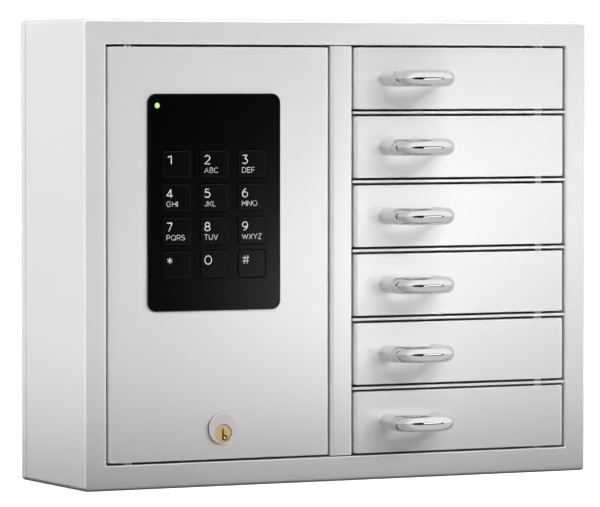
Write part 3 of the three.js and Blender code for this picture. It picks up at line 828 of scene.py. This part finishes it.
RING = bow(0.5, 0.5, 0.5, 0.5, 0, 360)
BOWL = line((0, 0), (0, 1), (0.6, 1)) + bow(0.6, 0.71, 0.4, 0.29, 90, -90) + line((0.6, 0.42), (0, 0.42))
GLYPHS = {
    "1": (0.45, line((0, 0.84), (1, 1), (1, 0))),
    "2": (0.68, bow(0.5, 0.7, 0.48, 0.3, 155, -38) + line((0.88, 0.52), (0, 0), (1, 0))),
    "3": (0.68, line((0.08, 1), (0.92, 1), (0.45, 0.6)) + bow(0.45, 0.3, 0.53, 0.3, 90, -145)),
    "4": (0.76, line((1, 0.24), (0, 0.24), (0.72, 1), (0.72, 0))),
    "5": (0.68, line((0.9, 1), (0.16, 1), (0.1, 0.55)) + bow(0.45, 0.32, 0.53, 0.32, 130, -145)),
    "6": (0.72, bow(0.5, 0.31, 0.5, 0.31, 0, 360) + bow(0.9, 0.35, 0.9, 0.65, 180, 100)),
    "7": (0.68, line((0, 1), (1, 1), (0.36, 0))),
    "8": (0.72, bow(0.5, 0.76, 0.42, 0.24, 0, 360) + bow(0.5, 0.26, 0.5, 0.26, 0, 360)),
    "9": (0.72, bow(0.5, 0.69, 0.5, 0.31, 0, 360) + bow(0.1, 0.65, 0.9, 0.65, 0, -80)),
    "0": (0.82, RING),
    "#": (0.88, line((0.38, 1), (0.24, 0)) + line((0.82, 1), (0.68, 0))
          + line((0.06, 0.68), (1, 0.68)) + line((0, 0.32), (0.94, 0.32))),
    "*": (1.0, line((0.5, 0), (0.5, 1)) + line((0.07, 0.25), (0.93, 0.75))
          + line((0.07, 0.75), (0.93, 0.25))),
    "A": (1.0, line((0, 0), (0.5, 1), (1, 0)) + line((0.18, 0.32), (0.82, 0.32))),
    "B": (0.78, line((0.55, 1), (0, 1), (0, 0), (0.6, 0)) + bow(0.55, 0.76, 0.38, 0.24, 90, -90)
          + line((0.6, 0.52), (0, 0.52)) + bow(0.6, 0.26, 0.4, 0.26, 90, -90)),
    "C": (0.95, bow(0.55, 0.5, 0.55, 0.5, 45, 315)),
    "D": (0.92, line((0.4, 1), (0, 1), (0, 0), (0.4, 0)) + bow(0.4, 0.5, 0.6, 0.5, 90, -90)),
    "E": (0.72, line((1, 1), (0, 1), (0, 0), (1, 0)) + line((0, 0.52), (0.9, 0.52))),
    "F": (0.7, line((1, 1), (0, 1), (0, 0)) + line((0, 0.48), (0.9, 0.48))),
    "G": (1.0, bow(0.52, 0.5, 0.52, 0.5, 50, 318) + line((0.92, 0.17), (0.92, 0.48), (0.56, 0.48))),
    "H": (0.88, line((0, 0), (0, 1)) + line((1, 0), (1, 1)) + line((0, 0.52), (1, 0.52))),
    "I": (0.05, line((0.5, 0), (0.5, 1))),
    "J": (0.6, line((1, 1), (1, 0.32)) + bow(0.52, 0.32, 0.48, 0.32, 0, -150)),
    "K": (0.85, line((0, 0), (0, 1)) + line((1, 1), (0, 0.32)) + line((0.38, 0.58), (1, 0))),
    "L": (0.62, line((0, 1), (0, 0), (1, 0))),
    "M": (1.0, line((0, 0), (0, 1), (0.5, 0.35), (1, 1), (1, 0))),
    "N": (0.9, line((0, 0), (0, 1), (1, 0), (1, 1))),
    "O": (1.08, RING),
    "P": (0.76, BOWL),
    "Q": (1.08, RING + line((0.6, 0.3), (1, 0))),
    "R": (0.78, BOWL + line((0.55, 0.42), (1, 0))),
    "S": (0.74, bow(0.5, 0.75, 0.44, 0.25, 35, 270) + bow(0.5, 0.25, 0.5, 0.25, 90, -145)),
    "T": (0.8, line((0, 1), (1, 1)) + line((0.5, 1), (0.5, 0))),
    "U": (0.86, line((0, 1), (0, 0.42)) + bow(0.5, 0.42, 0.5, 0.42, 180, 360) + line((1, 0.42), (1, 1))),
    "V": (1.0, line((0, 1), (0.5, 0), (1, 1))),
    "W": (1.45, line((0, 1), (0.27, 0), (0.5, 0.9), (0.73, 0), (1, 1))),
    "X": (0.88, line((0, 0), (1, 1)) + line((0, 1), (1, 0))),
    "Y": (0.88, line((0, 1), (0.5, 0.42), (1, 1)) + line((0.5, 0.42), (0.5, 0))),
    "Z": (0.8, line((0, 1), (1, 1), (0, 0), (1, 0))),
}
GLYPH_GAP = 0.3
INK_HEIGHT = 0.03 * MM


def print_legend(name, text, left, top, size, thickness, y, body):
    """A printed legend drawn in round-ended strokes: its left and top edges, its width and height."""
    width, height = size
    tall = height - thickness
    natural = sum(GLYPHS[letter][0] for letter in text) + GLYPH_GAP * (len(text) - 1)
    scale = (width - thickness) / natural
    build = Builder()
    start = left + thickness / 2
    for letter in text:
        wide, strokes = GLYPHS[letter]
        for stroke in strokes:
            path = [(start + x * wide * scale, y, top - thickness / 2 - (1 - z) * tall) for x, z in stroke]
            sweep(build, path, thickness / 2, 8)
        start += (wide + GLYPH_GAP) * scale
    for vert in build.mesh.verts:
        vert.co.y = y + (vert.co.y - y) * INK_HEIGHT / thickness
    dress(build.result(name), body, "key_plastic", INK, smooth=80)


FIGURE_HEIGHT = 5.5 * MM
STAR_HEIGHT = 4.2 * MM
LETTER_HEIGHT = 3.3 * MM
FIGURE_WIDTH = {"1": 2.7 * MM, "*": 4.3 * MM, "0": 5.0 * MM, "#": 5.0 * MM, "4": 4.3 * MM}
FIGURE_STROKE = {"*": 0.5 * MM, "#": 0.5 * MM}
LETTERS_WIDTH = {
    "ABC": 9.2 * MM, "DEF": 8.6 * MM, "GHI": 7.5 * MM, "JKL": 7.5 * MM, "MNO": 10.2 * MM,
    "PQRS": 12.1 * MM, "TUV": 9.0 * MM, "WXYZ": 13.1 * MM,
}


def key_legends(name):
    """The figure printed on a key, and the letters below it."""
    figure, letters = PAD_KEYS[name]
    low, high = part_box(name)
    left = low.x + 3.4 * MM
    top = high.z - 4.0 * MM
    size = (FIGURE_WIDTH.get(figure, 4.0 * MM), FIGURE_HEIGHT)
    if figure == "*":
        top -= (FIGURE_HEIGHT - STAR_HEIGHT) / 2
        size = (size[0], STAR_HEIGHT)
    if figure == "1":
        left += 0.8 * MM
    stroke = FIGURE_STROKE.get(figure, 0.57 * MM)
    print_legend(f"figure_{name}", figure, left, top, size, stroke, low.y, name)
    if letters:
        size = (LETTERS_WIDTH[letters], LETTER_HEIGHT)
        left = low.x + 3.4 * MM
        top = high.z - 11.4 * MM
        print_legend(f"letters_{name}", letters, left, top, size, 0.32 * MM, low.y, name)


def status_light():
    """The lens of the status light, with a collar behind the bezel."""
    low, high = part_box("status_led_lens")
    middle = middle_of("status_led_lens")
    dome = [
        (0.3 * MM, low.y), (0.9 * MM, low.y + 0.06 * MM), (1.3 * MM, low.y + 0.2 * MM),
        (1.5 * MM, low.y + 0.5 * MM)]
    back = [(1.5 * MM, SKIRT_FRONT), (2.3 * MM, SKIRT_FRONT), (2.3 * MM, high.y)]
    made = turned("status_lens", (middle.x, 0, middle.z), "y", dome + back, 32)
    dress(made, "service_door", "led_lens", LENS, "status_led_lens", smooth=50)


# ---------------- cam lock

# The lock head sits on a dark ring: painted shade that darkens the side wall of the head.
SHADE_RING_THICKNESS = 0.9 * MM
SHADE_RING_BORE = 8.95 * MM


def lock_body():
    """The lock's nickel-plated body, with a rounded rim and the plug's bore, and a dark ring under it:
    painted shade that darkens the side wall of the head.
    """
    low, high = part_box("lock_housing")
    middle = middle_of("lock_housing")
    plug = middle_of("lock_plug")
    head = 9.2 * MM
    barrel = 9.0 * MM
    rim = 0.25 * MM
    bore = 5.6 * MM
    shade_ring_front = SEAT - SHADE_RING_THICKNESS
    build = Builder()

    def ring(radius, y):
        return build.ring(circle(middle.x, middle.z, radius), y)

    rings = [ring(head - bend_inset(d, rim), low.y + d) for d in bend_depths(rim)]
    rings += [ring(head, shade_ring_front), ring(SHADE_RING_BORE, shade_ring_front)]
    rings += [ring(SHADE_RING_BORE, SEAT), ring(barrel, SEAT)]
    thread_start = -89 * MM
    thread_depth = 0.45 * MM
    pitch = 1 * MM
    for i in range(round((high.y - 0.8 * MM - thread_start) / pitch)):
        y = thread_start + i * pitch
        rings += [ring(barrel, y), ring(barrel - thread_depth, y + pitch / 2)]
    rings += [ring(barrel, high.y - 0.5 * MM), ring(barrel - 0.5 * MM, high.y)]
    build.loft(rings)
    chamfer = 0.25 * MM
    hole = [build.ring(circle(plug.x, plug.z, bore + chamfer), low.y)]
    hole += [build.ring(circle(plug.x, plug.z, bore), y) for y in (low.y + chamfer, high.y)]
    build.loft(hole)
    build.cap(rings[0], hole[0])
    build.cap(rings[-1], hole[-1])
    dress(build.result("lock_body"), "service_door", "nickel", NICKEL, "lock_housing")
    # The dark ring under the head is painted shade for the head's side wall.
    shade_ring = Builder()
    profile = [
        (SHADE_RING_BORE, shade_ring_front), (head - MIN_RADIUS, shade_ring_front), (head, shade_ring_front + MIN_RADIUS),
        (head, SEAT - MIN_RADIUS), (head - MIN_RADIUS, SEAT), (SHADE_RING_BORE, SEAT)]
    loops = [shade_ring.ring(circle(middle.x, middle.z, radius), y) for radius, y in profile]
    shade_ring.loft(loops, closed=True)
    dress(shade_ring.result("lock_shade_ring"), "service_door", None, MOULDING)


def lock_plug():
    """The brass plug. Its keyway is an upright slot with a curl at its lower right."""
    low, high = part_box("lock_plug")
    middle = middle_of("lock_plug")
    radius = 5.35 * MM
    edge = 0.35 * MM
    drive = 3 * MM
    shoulder = high.y - 4.8 * MM
    made = turned("plug", (middle.x, 0, middle.z), "y", [
        (radius - edge, low.y), (radius, low.y + edge), (radius, shoulder), (drive * 1.4, shoulder),
        (drive * 1.4, high.y)])
    depth = low.y + 16 * MM
    reach = low.y - 2 * MM
    upright = rectangle(
        middle.x - 0.65 * MM, middle.x + 0.35 * MM, middle.z - 4.0 * MM, middle.z + 2.8 * MM, 0.45 * MM)
    slot = prism("slot", upright, reach, depth)
    curl_x, curl_z = middle.x + 0.95 * MM, middle.z - 2.6 * MM
    curl_outer = circle(curl_x, curl_z, 1.85 * MM, 32)
    curl_inner = circle(curl_x + 0.1 * MM, curl_z, 1.0 * MM, 32)
    curl = prism("curl", curl_outer, reach, depth, curl_inner)
    carve(made, [slot, curl])
    dress(made, "lock_core", "brass", BRASS, "lock_plug")


# ---------------- inside the case

def board_screw(number, x, y, z):
    """A domed screw head that faces the front, with a hexagon socket."""
    radius = 2.4 * MM
    thick = radius * 0.6
    made = turned(f"board_screw_{number}", (x, 0, z), "y", [
        (radius * 0.3, y - thick), (radius * 0.7, y - thick * 0.85), (radius * 0.93, y - thick * 0.5),
        (radius, y - thick * 0.2), (radius, y)], 24)
    socket = prism("socket", circle(x, z, radius * 0.45, 6), y - thick - 1 * MM, y - thick * 0.45)
    carve(made, [socket])
    dress(made, "cabinet", "zinc_steel", ZINC)


def bolt_opening(number, slack):
    """The (y, z) outline of the opening a latch bolt slides through."""
    low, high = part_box(f"latch_bolt_{number}")
    return rectangle(low.y - slack, high.y + slack, low.z - slack, high.z + slack, 0.6 * MM, 4)


def latch_plate():
    """The rail's upright plate, with an opening for each bolt."""
    low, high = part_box("latch_rail")
    slack = 0.6 * MM
    plate = rectangle(low.y, high.y, low.z, high.z, 1.5 * MM)
    openings = [bolt_opening(number, slack) for number in KEY_DOORS]
    made = prism("latch_plate", plate, high.x - SHEET, high.x, *openings, axis="x")
    dress(made, "cabinet", "zinc_steel", ZINC, "latch_rail")


def bolt_drive(number):
    """A solenoid around the bolt: a bent steel yoke, a black bobbin and its copper winding."""
    rail_low, rail_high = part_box("latch_rail")
    middle = middle_of(f"latch_bolt_{number}")
    left, right = rail_low.x, rail_high.x - SHEET
    half_height = 10 * MM
    back = -67.5 * MM
    front = rail_low.y
    sheet = 1.2 * MM
    plan = [
        (left, front), (left + sheet, front), (left + sheet, back - sheet), (right - sheet, back - sheet),
        (right - sheet, front), (right, front), (right, back), (left, back)]
    yoke = prism(f"drive_yoke_{number}", plan, middle.z - half_height, middle.z + half_height, axis="z")
    reach = 2 * MM
    tunnel = prism("tunnel", bolt_opening(number, 0.6 * MM), left - reach, right + reach, axis="x")
    carve(yoke, [tunnel])
    dress(yoke, "cabinet", "zinc_steel", ZINC)
    start, end = left + 1.5 * MM, right - 1.5 * MM
    flange = 1.2 * MM
    bore = (4.2 * MM, 4.7 * MM, 0.6 * MM)
    core = (4.9 * MM, 5.4 * MM, 1 * MM)
    rim = (5.6 * MM, 9.2 * MM, 1.5 * MM)
    crest = (5.3 * MM, 8.3 * MM, 2.2 * MM)
    groove = (5.1 * MM, 8.1 * MM, 2 * MM)
    within = (5.0 * MM, 5.5 * MM, 1 * MM)
    place = (0, middle.y, middle.z)
    bobbin = sleeve(f"drive_bobbin_{number}", place, "x", [
        (*rim, start), (*rim, start + flange), (*core, start + flange), (*core, end - flange),
        (*rim, end - flange), (*rim, end), (*bore, end), (*bore, start)])
    dress(bobbin, "cabinet", "key_plastic", MOULDING)
    turns = 24
    first, last = start + flange + 0.05 * MM, end - flange - 0.05 * MM
    pitch = (last - first) / turns
    winding = []
    for i in range(turns):
        along = first + i * pitch
        winding += [(*groove, along), (*crest, along + pitch / 2)]
    winding += [(*groove, last), (*within, last), (*within, first)]
    dress(sleeve(f"drive_coil_{number}", place, "x", winding), "cabinet", None, COPPER, smooth=80)


def terminal_z(number):
    """The height of one terminal. They are spread evenly along the board's edge."""
    low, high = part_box("control_board")
    pitch = (high.z - low.z - 14 * MM) / (len(KEY_DOORS) - 1)
    return high.z - 7 * MM - (number - 1) * pitch


def drive_leads(number):
    """The pair of wires from the board's terminal to the drive."""
    board_low, board_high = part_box("control_board")
    z0 = terminal_z(number)
    z1 = middle_of(f"latch_bolt_{number}").z
    run = -13 * MM - number * 2.8 * MM
    plug_y = board_low.y - 5 * MM
    for name, look, shift in (("red", RED_WIRE, 1.2 * MM), ("black", BLACK_WIRE, -1.2 * MM)):
        x = -16 * MM + shift
        start, end = z0 + shift, z1 + shift
        path = [
            (board_high.x - 4 * MM, plug_y, start), (board_high.x + 6 * MM, plug_y, start),
            (x, run, start), (x, run, end), (x, -66 * MM, end), (x, -68 * MM, end)]
        made = tube(f"{name}_lead_{number}", rounded(path, 6 * MM), 0.75 * MM, 12)
        dress(made, "cabinet", None, look, smooth=60)


def terminal(number):
    """A two-way terminal block at the board's edge, with its screws."""
    board_low, board_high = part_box("control_board")
    face = board_low.y
    x = board_high.x - 4.5 * MM
    z = terminal_z(number)
    screws = {"lower": z - 2.1 * MM, "upper": z + 2.1 * MM}
    corners = around(x, z, 3.5 * MM, 4.4 * MM, face - 9 * MM, face)
    made = block(f"terminal_{number}", *corners, 0.5 * MM)
    sockets = [
        prism("socket", circle(x, up, 1.3 * MM, 16), face - 12 * MM, face - 7.5 * MM)
        for up in screws.values()]
    carve(made, sockets)
    dress(made, "cabinet", None, SOCKET)
    for end, up in screws.items():
        head = turned(f"terminal_{number}_{end}_screw", (x, 0, up), "y", [
            (0.8 * MM, face - 8.2 * MM), (1.1 * MM, face - 8 * MM), (1.1 * MM, face - 7.4 * MM)], 16)
        dress(head, "cabinet", "zinc_steel", ZINC)


def relay(number):
    low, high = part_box("control_board")
    x = high.x - 19.5 * MM
    corners = around(x, terminal_z(number), 7.5 * MM, 5 * MM, low.y - 11 * MM, low.y - 0.6 * MM)
    dress(block(f"relay_{number}", *corners, 0.6 * MM), "cabinet", None, RELAY)


def chip(name, x, z, half, pins):
    """A flat square chip with a row of leads on each side."""
    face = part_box("control_board")[0].y
    body = block(name, *around(x, z, half, half, face - 1.9 * MM, face - 0.3 * MM), 0.25 * MM)
    corner = half * 0.7
    mark = circle(x - corner, z + corner, half * 0.12, 16)
    carve(body, [prism("dimple", mark, face - 3 * MM, face - 1.7 * MM)])
    dress(body, "cabinet", None, CHIP)
    reach = half + 1.3 * MM
    lead = 0.22 * MM
    leads = []
    for i in range(pins):
        offset = (i - (pins - 1) / 2) * half * 1.8 / pins
        leads.append(around(x, z + offset, reach, lead, face - 0.45 * MM, face - 0.15 * MM))
        leads.append(around(x + offset, z, lead, reach, face - 0.5 * MM, face - 0.2 * MM))
    dress(blocks(f"{name}_leads", leads, 0), "cabinet", None, TIN)


def capacitor(name, x, z, radius, height):
    """An upright can capacitor: its sleeve and its bright top."""
    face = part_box("control_board")[0].y
    end = face - height
    rim = radius - 0.9 * MM
    can = turned(name, (x, 0, z), "y", [
        (radius - 0.6 * MM, end), (radius, end + 0.3 * MM), (radius, end + 1.2 * MM),
        (radius - 0.3 * MM, end + 1.6 * MM), (radius, end + 2 * MM), (radius, face - 0.4 * MM),
        (radius - 0.4 * MM, face)], 32)
    dress(can, "cabinet", None, SLEEVING)
    top = turned(f"{name}_top", (x, 0, z), "y", [
        (rim - 0.3 * MM, end - 0.15 * MM), (rim, end - 0.05 * MM), (rim, end + 0.1 * MM)], 32)
    dress(top, "cabinet", None, TIN)


def small_parts():
    """The board's small surface-mounted parts, in rows: dark bodies with a bright end cap on both sides."""
    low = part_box("control_board")[0]
    bodies = []
    caps = []
    for row in range(5):
        for column in range(7):
            if (row + column * 2) % 5 == 3:
                continue
            x = low.x + 8 * MM + column * 4.2 * MM
            z = low.z + 6 * MM + row * 3.4 * MM
            bodies.append(around(x, z, 0.8 * MM, 0.6 * MM, low.y - 0.7 * MM, low.y))
            for side in (-1, 1):
                end = x + side * 1.05 * MM
                caps.append(around(end, z, 0.25 * MM, 0.65 * MM, low.y - 0.75 * MM, low.y))
    dress(blocks("resistors", bodies, 0.08 * MM), "cabinet", None, CHIP)
    dress(blocks("resistor_ends", caps, 0.08 * MM), "cabinet", None, TIN)


def control_electronics():
    """What stands on the control board between the terminals and its far edge, and the board's screws."""
    low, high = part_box("control_board")
    chip("processor", -112 * MM, 74 * MM, 7 * MM, 12)
    chip("memory_chip", -90 * MM, 80 * MM, 4 * MM, 6)
    chip("driver_chip", -84 * MM, 52 * MM, 5 * MM, 8)
    capacitor("capacitor_1", -134 * MM, 92 * MM, 5 * MM, 16 * MM)
    capacitor("capacitor_2", -134 * MM, 78 * MM, 4 * MM, 12 * MM)
    capacitor("capacitor_3", -102 * MM, 95 * MM, 4 * MM, 12 * MM)
    small_parts()
    x, z = -116 * MM, 58 * MM
    header = block("cable_header", *around(x, z, 12 * MM, 3 * MM, low.y - 8 * MM, low.y), 0.4 * MM)
    well = around(x, z, 11 * MM, 2 * MM, low.y - 12 * MM, low.y - 1.5 * MM)
    carve(header, [block("well", *well, 0)])
    dress(header, "cabinet", None, SOCKET)
    pins = []
    for i in range(8):
        for up in (z - 0.8 * MM, z + 0.8 * MM):
            along = x - 9.4 * MM + i * 2.6 * MM
            pins.append(around(along, up, 0.3 * MM, 0.3 * MM, low.y - 6.5 * MM, low.y - 1 * MM))
    dress(blocks("header_pins", pins, 0.1 * MM), "cabinet", None, TIN)
    for number, z in enumerate((low.z + 2.8 * MM, high.z - 2.8 * MM), 1):
        board_screw(number, low.x + 4 * MM, low.y, z)


def cell(number):
    """A battery cell: wrapped can, copper-coloured end band and steel tip."""
    low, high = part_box(f"battery_cell_{number}")
    middle = middle_of(f"battery_cell_{number}")
    radius = (high.x - low.x) / 2
    nub = 1 * MM
    shoulder = high.z - nub
    band = shoulder - 12 * MM
    place = (middle.x, middle.y, 0)
    profile = [(radius - 0.6 * MM, low.z), (radius, low.z + 0.5 * MM), (radius, band)]
    can = turned(f"cell_can_{number}", place, "z", profile)
    dress(can, "cabinet", "cell_wrap", WRAP, f"battery_cell_{number}")
    profile = [
        (radius, band + 0.02 * MM), (radius, shoulder - 0.6 * MM), (radius - 0.6 * MM, shoulder),
        (3.4 * MM, shoulder), (3.2 * MM, shoulder - 0.3 * MM)]
    dress(turned(f"cell_band_{number}", place, "z", profile), "cabinet", None, COPPER)
    profile = [(2.7 * MM, shoulder - 0.2 * MM), (2.7 * MM, high.z - 0.3 * MM), (2.4 * MM, high.z)]
    tip = turned(f"cell_tip_{number}", place, "z", profile, 32)
    dress(tip, "cabinet", None, TIN)


def cover_details():
    """The pad's rear cover: four screws, three stiffening ribs and the cable outlet."""
    low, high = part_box("keypad_rear_cover")
    face = high.y
    inset = 5 * MM
    corners = [(x, z) for x in (low.x + inset, high.x - inset) for z in (low.z + inset, high.z - inset)]
    for number, (x, z) in enumerate(corners, 1):
        head = turned(f"cover_screw_{number}", (x, 0, z), "y", [
            (2.6 * MM, face - 0.3 * MM), (2.6 * MM, face + 0.5 * MM), (2.1 * MM, face + 1 * MM)], 24)
        carve(head, [prism("socket", circle(x, z, 1.1 * MM, 6), face + 0.3 * MM, face + 3 * MM)])
        dress(head, "service_door", "zinc_steel", ZINC)
    middle = (low.x + high.x) / 2
    half = (high.x - low.x) / 2 - 10 * MM
    ribs = [
        around(middle, low.z + up * MM, half, 0.8 * MM, face - 0.5 * MM, face + 0.7 * MM)
        for up in (32, 62, 92)]
    dress(blocks("cover_ribs", ribs, 0.3 * MM), "service_door", "key_plastic", MOULDING)
    outlet = sleeve("cover_outlet", (high.x - 16 * MM, 0, low.z + 14 * MM), "y", [
        (7 * MM, 4 * MM, 1 * MM, face - 0.5 * MM), (7 * MM, 4 * MM, 1 * MM, face + 1.6 * MM),
        (6.4 * MM, 3.4 * MM, 0.8 * MM, face + 1.9 * MM), (5.8 * MM, 2.8 * MM, 0.6 * MM, face + 1.6 * MM),
        (5.8 * MM, 2.8 * MM, 0.6 * MM, face - 0.5 * MM)])
    dress(outlet, "service_door", "key_plastic", MOULDING)


# ---------------- stage

def softbox(name, location, target, width, height, power, spread=180):
    """A rectangular light aimed at a point. Its width stays level."""
    data = bpy.data.lights.new(name, "AREA")
    data.shape = "RECTANGLE"
    data.size = width
    data.size_y = height
    data.energy = power
    data.spread = math.radians(spread)
    lamp = bpy.data.objects.new(name, data)
    lamp.location = location
    lamp.visible_camera = False
    towards = (Vector(target) - Vector(location)).normalized()
    level = Vector((0, 1, 0)) if abs(towards.x) > 0.9 else Vector((1, 0, 0))
    across = (level - towards * level.dot(towards)).normalized()
    lamp.rotation_euler = Matrix((across, across.cross(towards), -towards)).transposed().to_euler()
    bpy.context.scene.collection.objects.link(lamp)
    return lamp


def beam(name, location, target, width, height, power, spread=180):
    """A softbox that lights the cabinet without showing as a bright patch in its chrome."""
    softbox(name, location, target, width, height, power, spread).visible_glossy = False


def world_patch(tree, direction, centre, radius, squeeze, level):
    """A soft-edged darker patch of the surroundings. The squeeze flattens it, or makes it taller."""
    away = add_node(tree, "ShaderNodeVectorMath", {0: direction, 1: centre}, "SUBTRACT")
    flat = add_node(tree, "ShaderNodeVectorMath", {0: away.outputs["Vector"], 1: (1, 1, squeeze)}, "MULTIPLY")
    distance = add_node(tree, "ShaderNodeVectorMath", {0: flat.outputs["Vector"]}, "LENGTH")
    patch = add_node(tree, "ShaderNodeMapRange", {
        "Value": distance.outputs["Value"], "From Min": radius * 0.8, "From Max": radius * 1.2,
        "To Min": level})
    patch.interpolation_type = "SMOOTHSTEP"
    return patch


def studio_world():
    """Seen directly the studio is plain white. In reflections it is bright above and grey below, brighter
    on the photographer's side, with a dark patch in the middle of that side."""
    white = (1, 1, 1, 1)
    world = bpy.data.worlds.new("studio")
    bpy.context.scene.world = world
    world.use_nodes = True
    tree = world.node_tree
    backdrop = tree.nodes["Background"]
    backdrop.inputs["Color"].default_value = white
    direction = tree.nodes.new("ShaderNodeTexCoord").outputs["Generated"]
    split = add_node(tree, "ShaderNodeSeparateXYZ", {"Vector": direction})
    sky = add_node(tree, "ShaderNodeMapRange", {
        "Value": split.outputs["Z"], "From Min": -HORIZON, "From Max": HORIZON,
        "To Min": GROUND_LEVEL, "To Max": SKY_LEVEL})
    towards = add_node(tree, "ShaderNodeVectorMath", {0: direction, 1: BRIGHT_SIDE}, "DOT_PRODUCT")
    front = add_node(tree, "ShaderNodeMapRange", {
        "Value": towards.outputs["Value"], "From Min": 0.0, "From Max": 0.5,
        "To Min": 1.0, "To Max": FRONT_GAIN})
    level = sky.outputs["Result"]
    for factor in (front, world_patch(tree, direction, **DARK_PATCH)):
        product = add_node(tree, "ShaderNodeMath", {0: level, 1: factor.outputs["Result"]}, "MULTIPLY")
        level = product.outputs["Value"]
    reflected = add_node(tree, "ShaderNodeBackground", {"Color": white, "Strength": level})
    path = tree.nodes.new("ShaderNodeLightPath")
    mix = add_node(tree, "ShaderNodeMixShader", {
        "Fac": path.outputs["Is Camera Ray"], 1: reflected.outputs["Background"],
        2: backdrop.outputs["Background"]})
    tree.links.new(mix.outputs["Shader"], tree.nodes["World Output"].inputs["Surface"])
    world.cycles_visibility.diffuse = False


def studio_floor():
    """A plain white floor, level with the lowest point of the cabinet, that takes no shadow."""
    build = Builder()
    size = 20
    corners = ((-size, -size), (size, -size), (size, size), (-size, size))
    build.cap(build.ring(corners, CAD_LOW.z, "z"))
    floor = build.result("floor")
    look, shader = surface("floor", (0.9, 0.9, 0.9), 0.6, Emission_Strength=0.9)[:2]
    shader.inputs["Emission Color"].default_value = (1, 1, 1, 1)
    floor.data.materials.append(look)
    floor.visible_diffuse = False
    floor.visible_glossy = False
    floor.visible_shadow = False


def contact_card():
    """A dark card under the cabinet, unseen by the camera. It shades the lower edges, as a floor does."""
    reach = 5 * MM
    below = 0.05 * MM
    corners = rectangle(CAD_LOW.x - reach, CAD_HIGH.x + reach, FRONT - reach, CAD_HIGH.y + reach, reach)
    build = Builder()
    build.cap(build.ring(corners, CAD_LOW.z - below, "z"))
    card = build.result("contact_card")
    card.data.materials.append(surface("contact_card", (0.02, 0.02, 0.02), 0.8)[0])
    card.visible_camera = False


def studio():
    """Soft studio light and a plain white floor. Powers are in watts, spreads in degrees."""
    bpy.context.scene.view_settings.view_transform = "Standard"
    studio_world()
    studio_floor()
    contact_card()
    beam("left_beam", (-1.2, -0.05, 0.09), (0, -0.05, 0.09), 0.5, 0.42, 0.763, 10)
    for number, (x, z) in enumerate(((-0.1, 0.7), (0.3, 0.9), (0.7, 0.7), (1.1, 0.9)), 1):
        beam(f"upper_beam_{number}", (x, -1.2, z), (0, -0.095, 0.07), 0.8, 0.34, 0.251, 6)
    for number, (x, z) in enumerate(((-0.3, -0.5), (0.3, -0.7), (0.9, -0.5)), 1):
        beam(f"lower_beam_{number}", (x, -1.0, z), (0, -0.095, 0.09), 0.6, 0.3, 0.084, 10)
    key = softbox("key_light", (0.591, -1.095, -0.019), (0.591, 0, -0.019), 0.34, 0.12, 0.406)
    key.rotation_euler.rotate_axis("Z", math.radians(37.7))
    beam("top_fill", (0.0, 0.3, 1.2), (0, 0, 0.14), 0.8, 0.5, 1.0)
    beam("right_fill", (1.3, 0.4, 0.2), (0.17, 0, 0), 0.7, 0.7, 3.0)
    beam("back_fill", (0.3, 1.4, 0.5), (0, 0, 0), 0.8, 0.7, 6.0)


def camera():
    """The photo's camera: a long lens, slightly above the middle and to the left of the cabinet."""
    data = bpy.data.cameras.new("camera")
    data.sensor_width = SENSOR_WIDTH
    data.lens = FOCAL_LENGTH
    made = bpy.data.objects.new("camera", data)
    made.location = CAMERA_PLACE
    made.rotation_euler = [math.radians(angle) for angle in CAMERA_TURN]
    bpy.context.scene.collection.objects.link(made)
    bpy.context.scene.camera = made


# ---------------- assembly

camera()
studio()
framed_shell()
back_tray()
divider()
service_door()
for door in KEY_DOORS:
    key_door(door)
    handle(door)
hinge_pin("key_door_rod", "key_door_hinge_rod")
hinge_pin("upper_pin", "service_door_upper_pin")
hinge_pin("lower_pin", "service_door_lower_pin")
bezel()
status_light()
for key in PAD_KEYS:
    key_cap(key)
    key_legends(key)
lock_body()
lock_plug()
for shelf in SHELVES:
    keep(f"key_shelf_{shelf}", COAT, 0.15 * MM)
for door in KEY_DOORS:
    keep(f"latch_bolt_{door}", STEEL, 0.6 * MM)
    bolt_drive(door)
    drive_leads(door)
    terminal(door)
    relay(door)
latch_plate()
control_electronics()
cover_details()
keep("lock_nut", ZINC, 0.4 * MM)
keep("lock_cam", ZINC)
keep("cam_screw", ZINC, 0.4 * MM)
keep("keypad_rear_cover", MOULDING, 0.5 * MM)
keep("battery_holder", MOULDING, 0.4 * MM)
for board in ("keypad_circuit_board", "control_board"):
    keep(board, BOARD, 0.1 * MM)
for battery in CELLS:
    cell(battery)
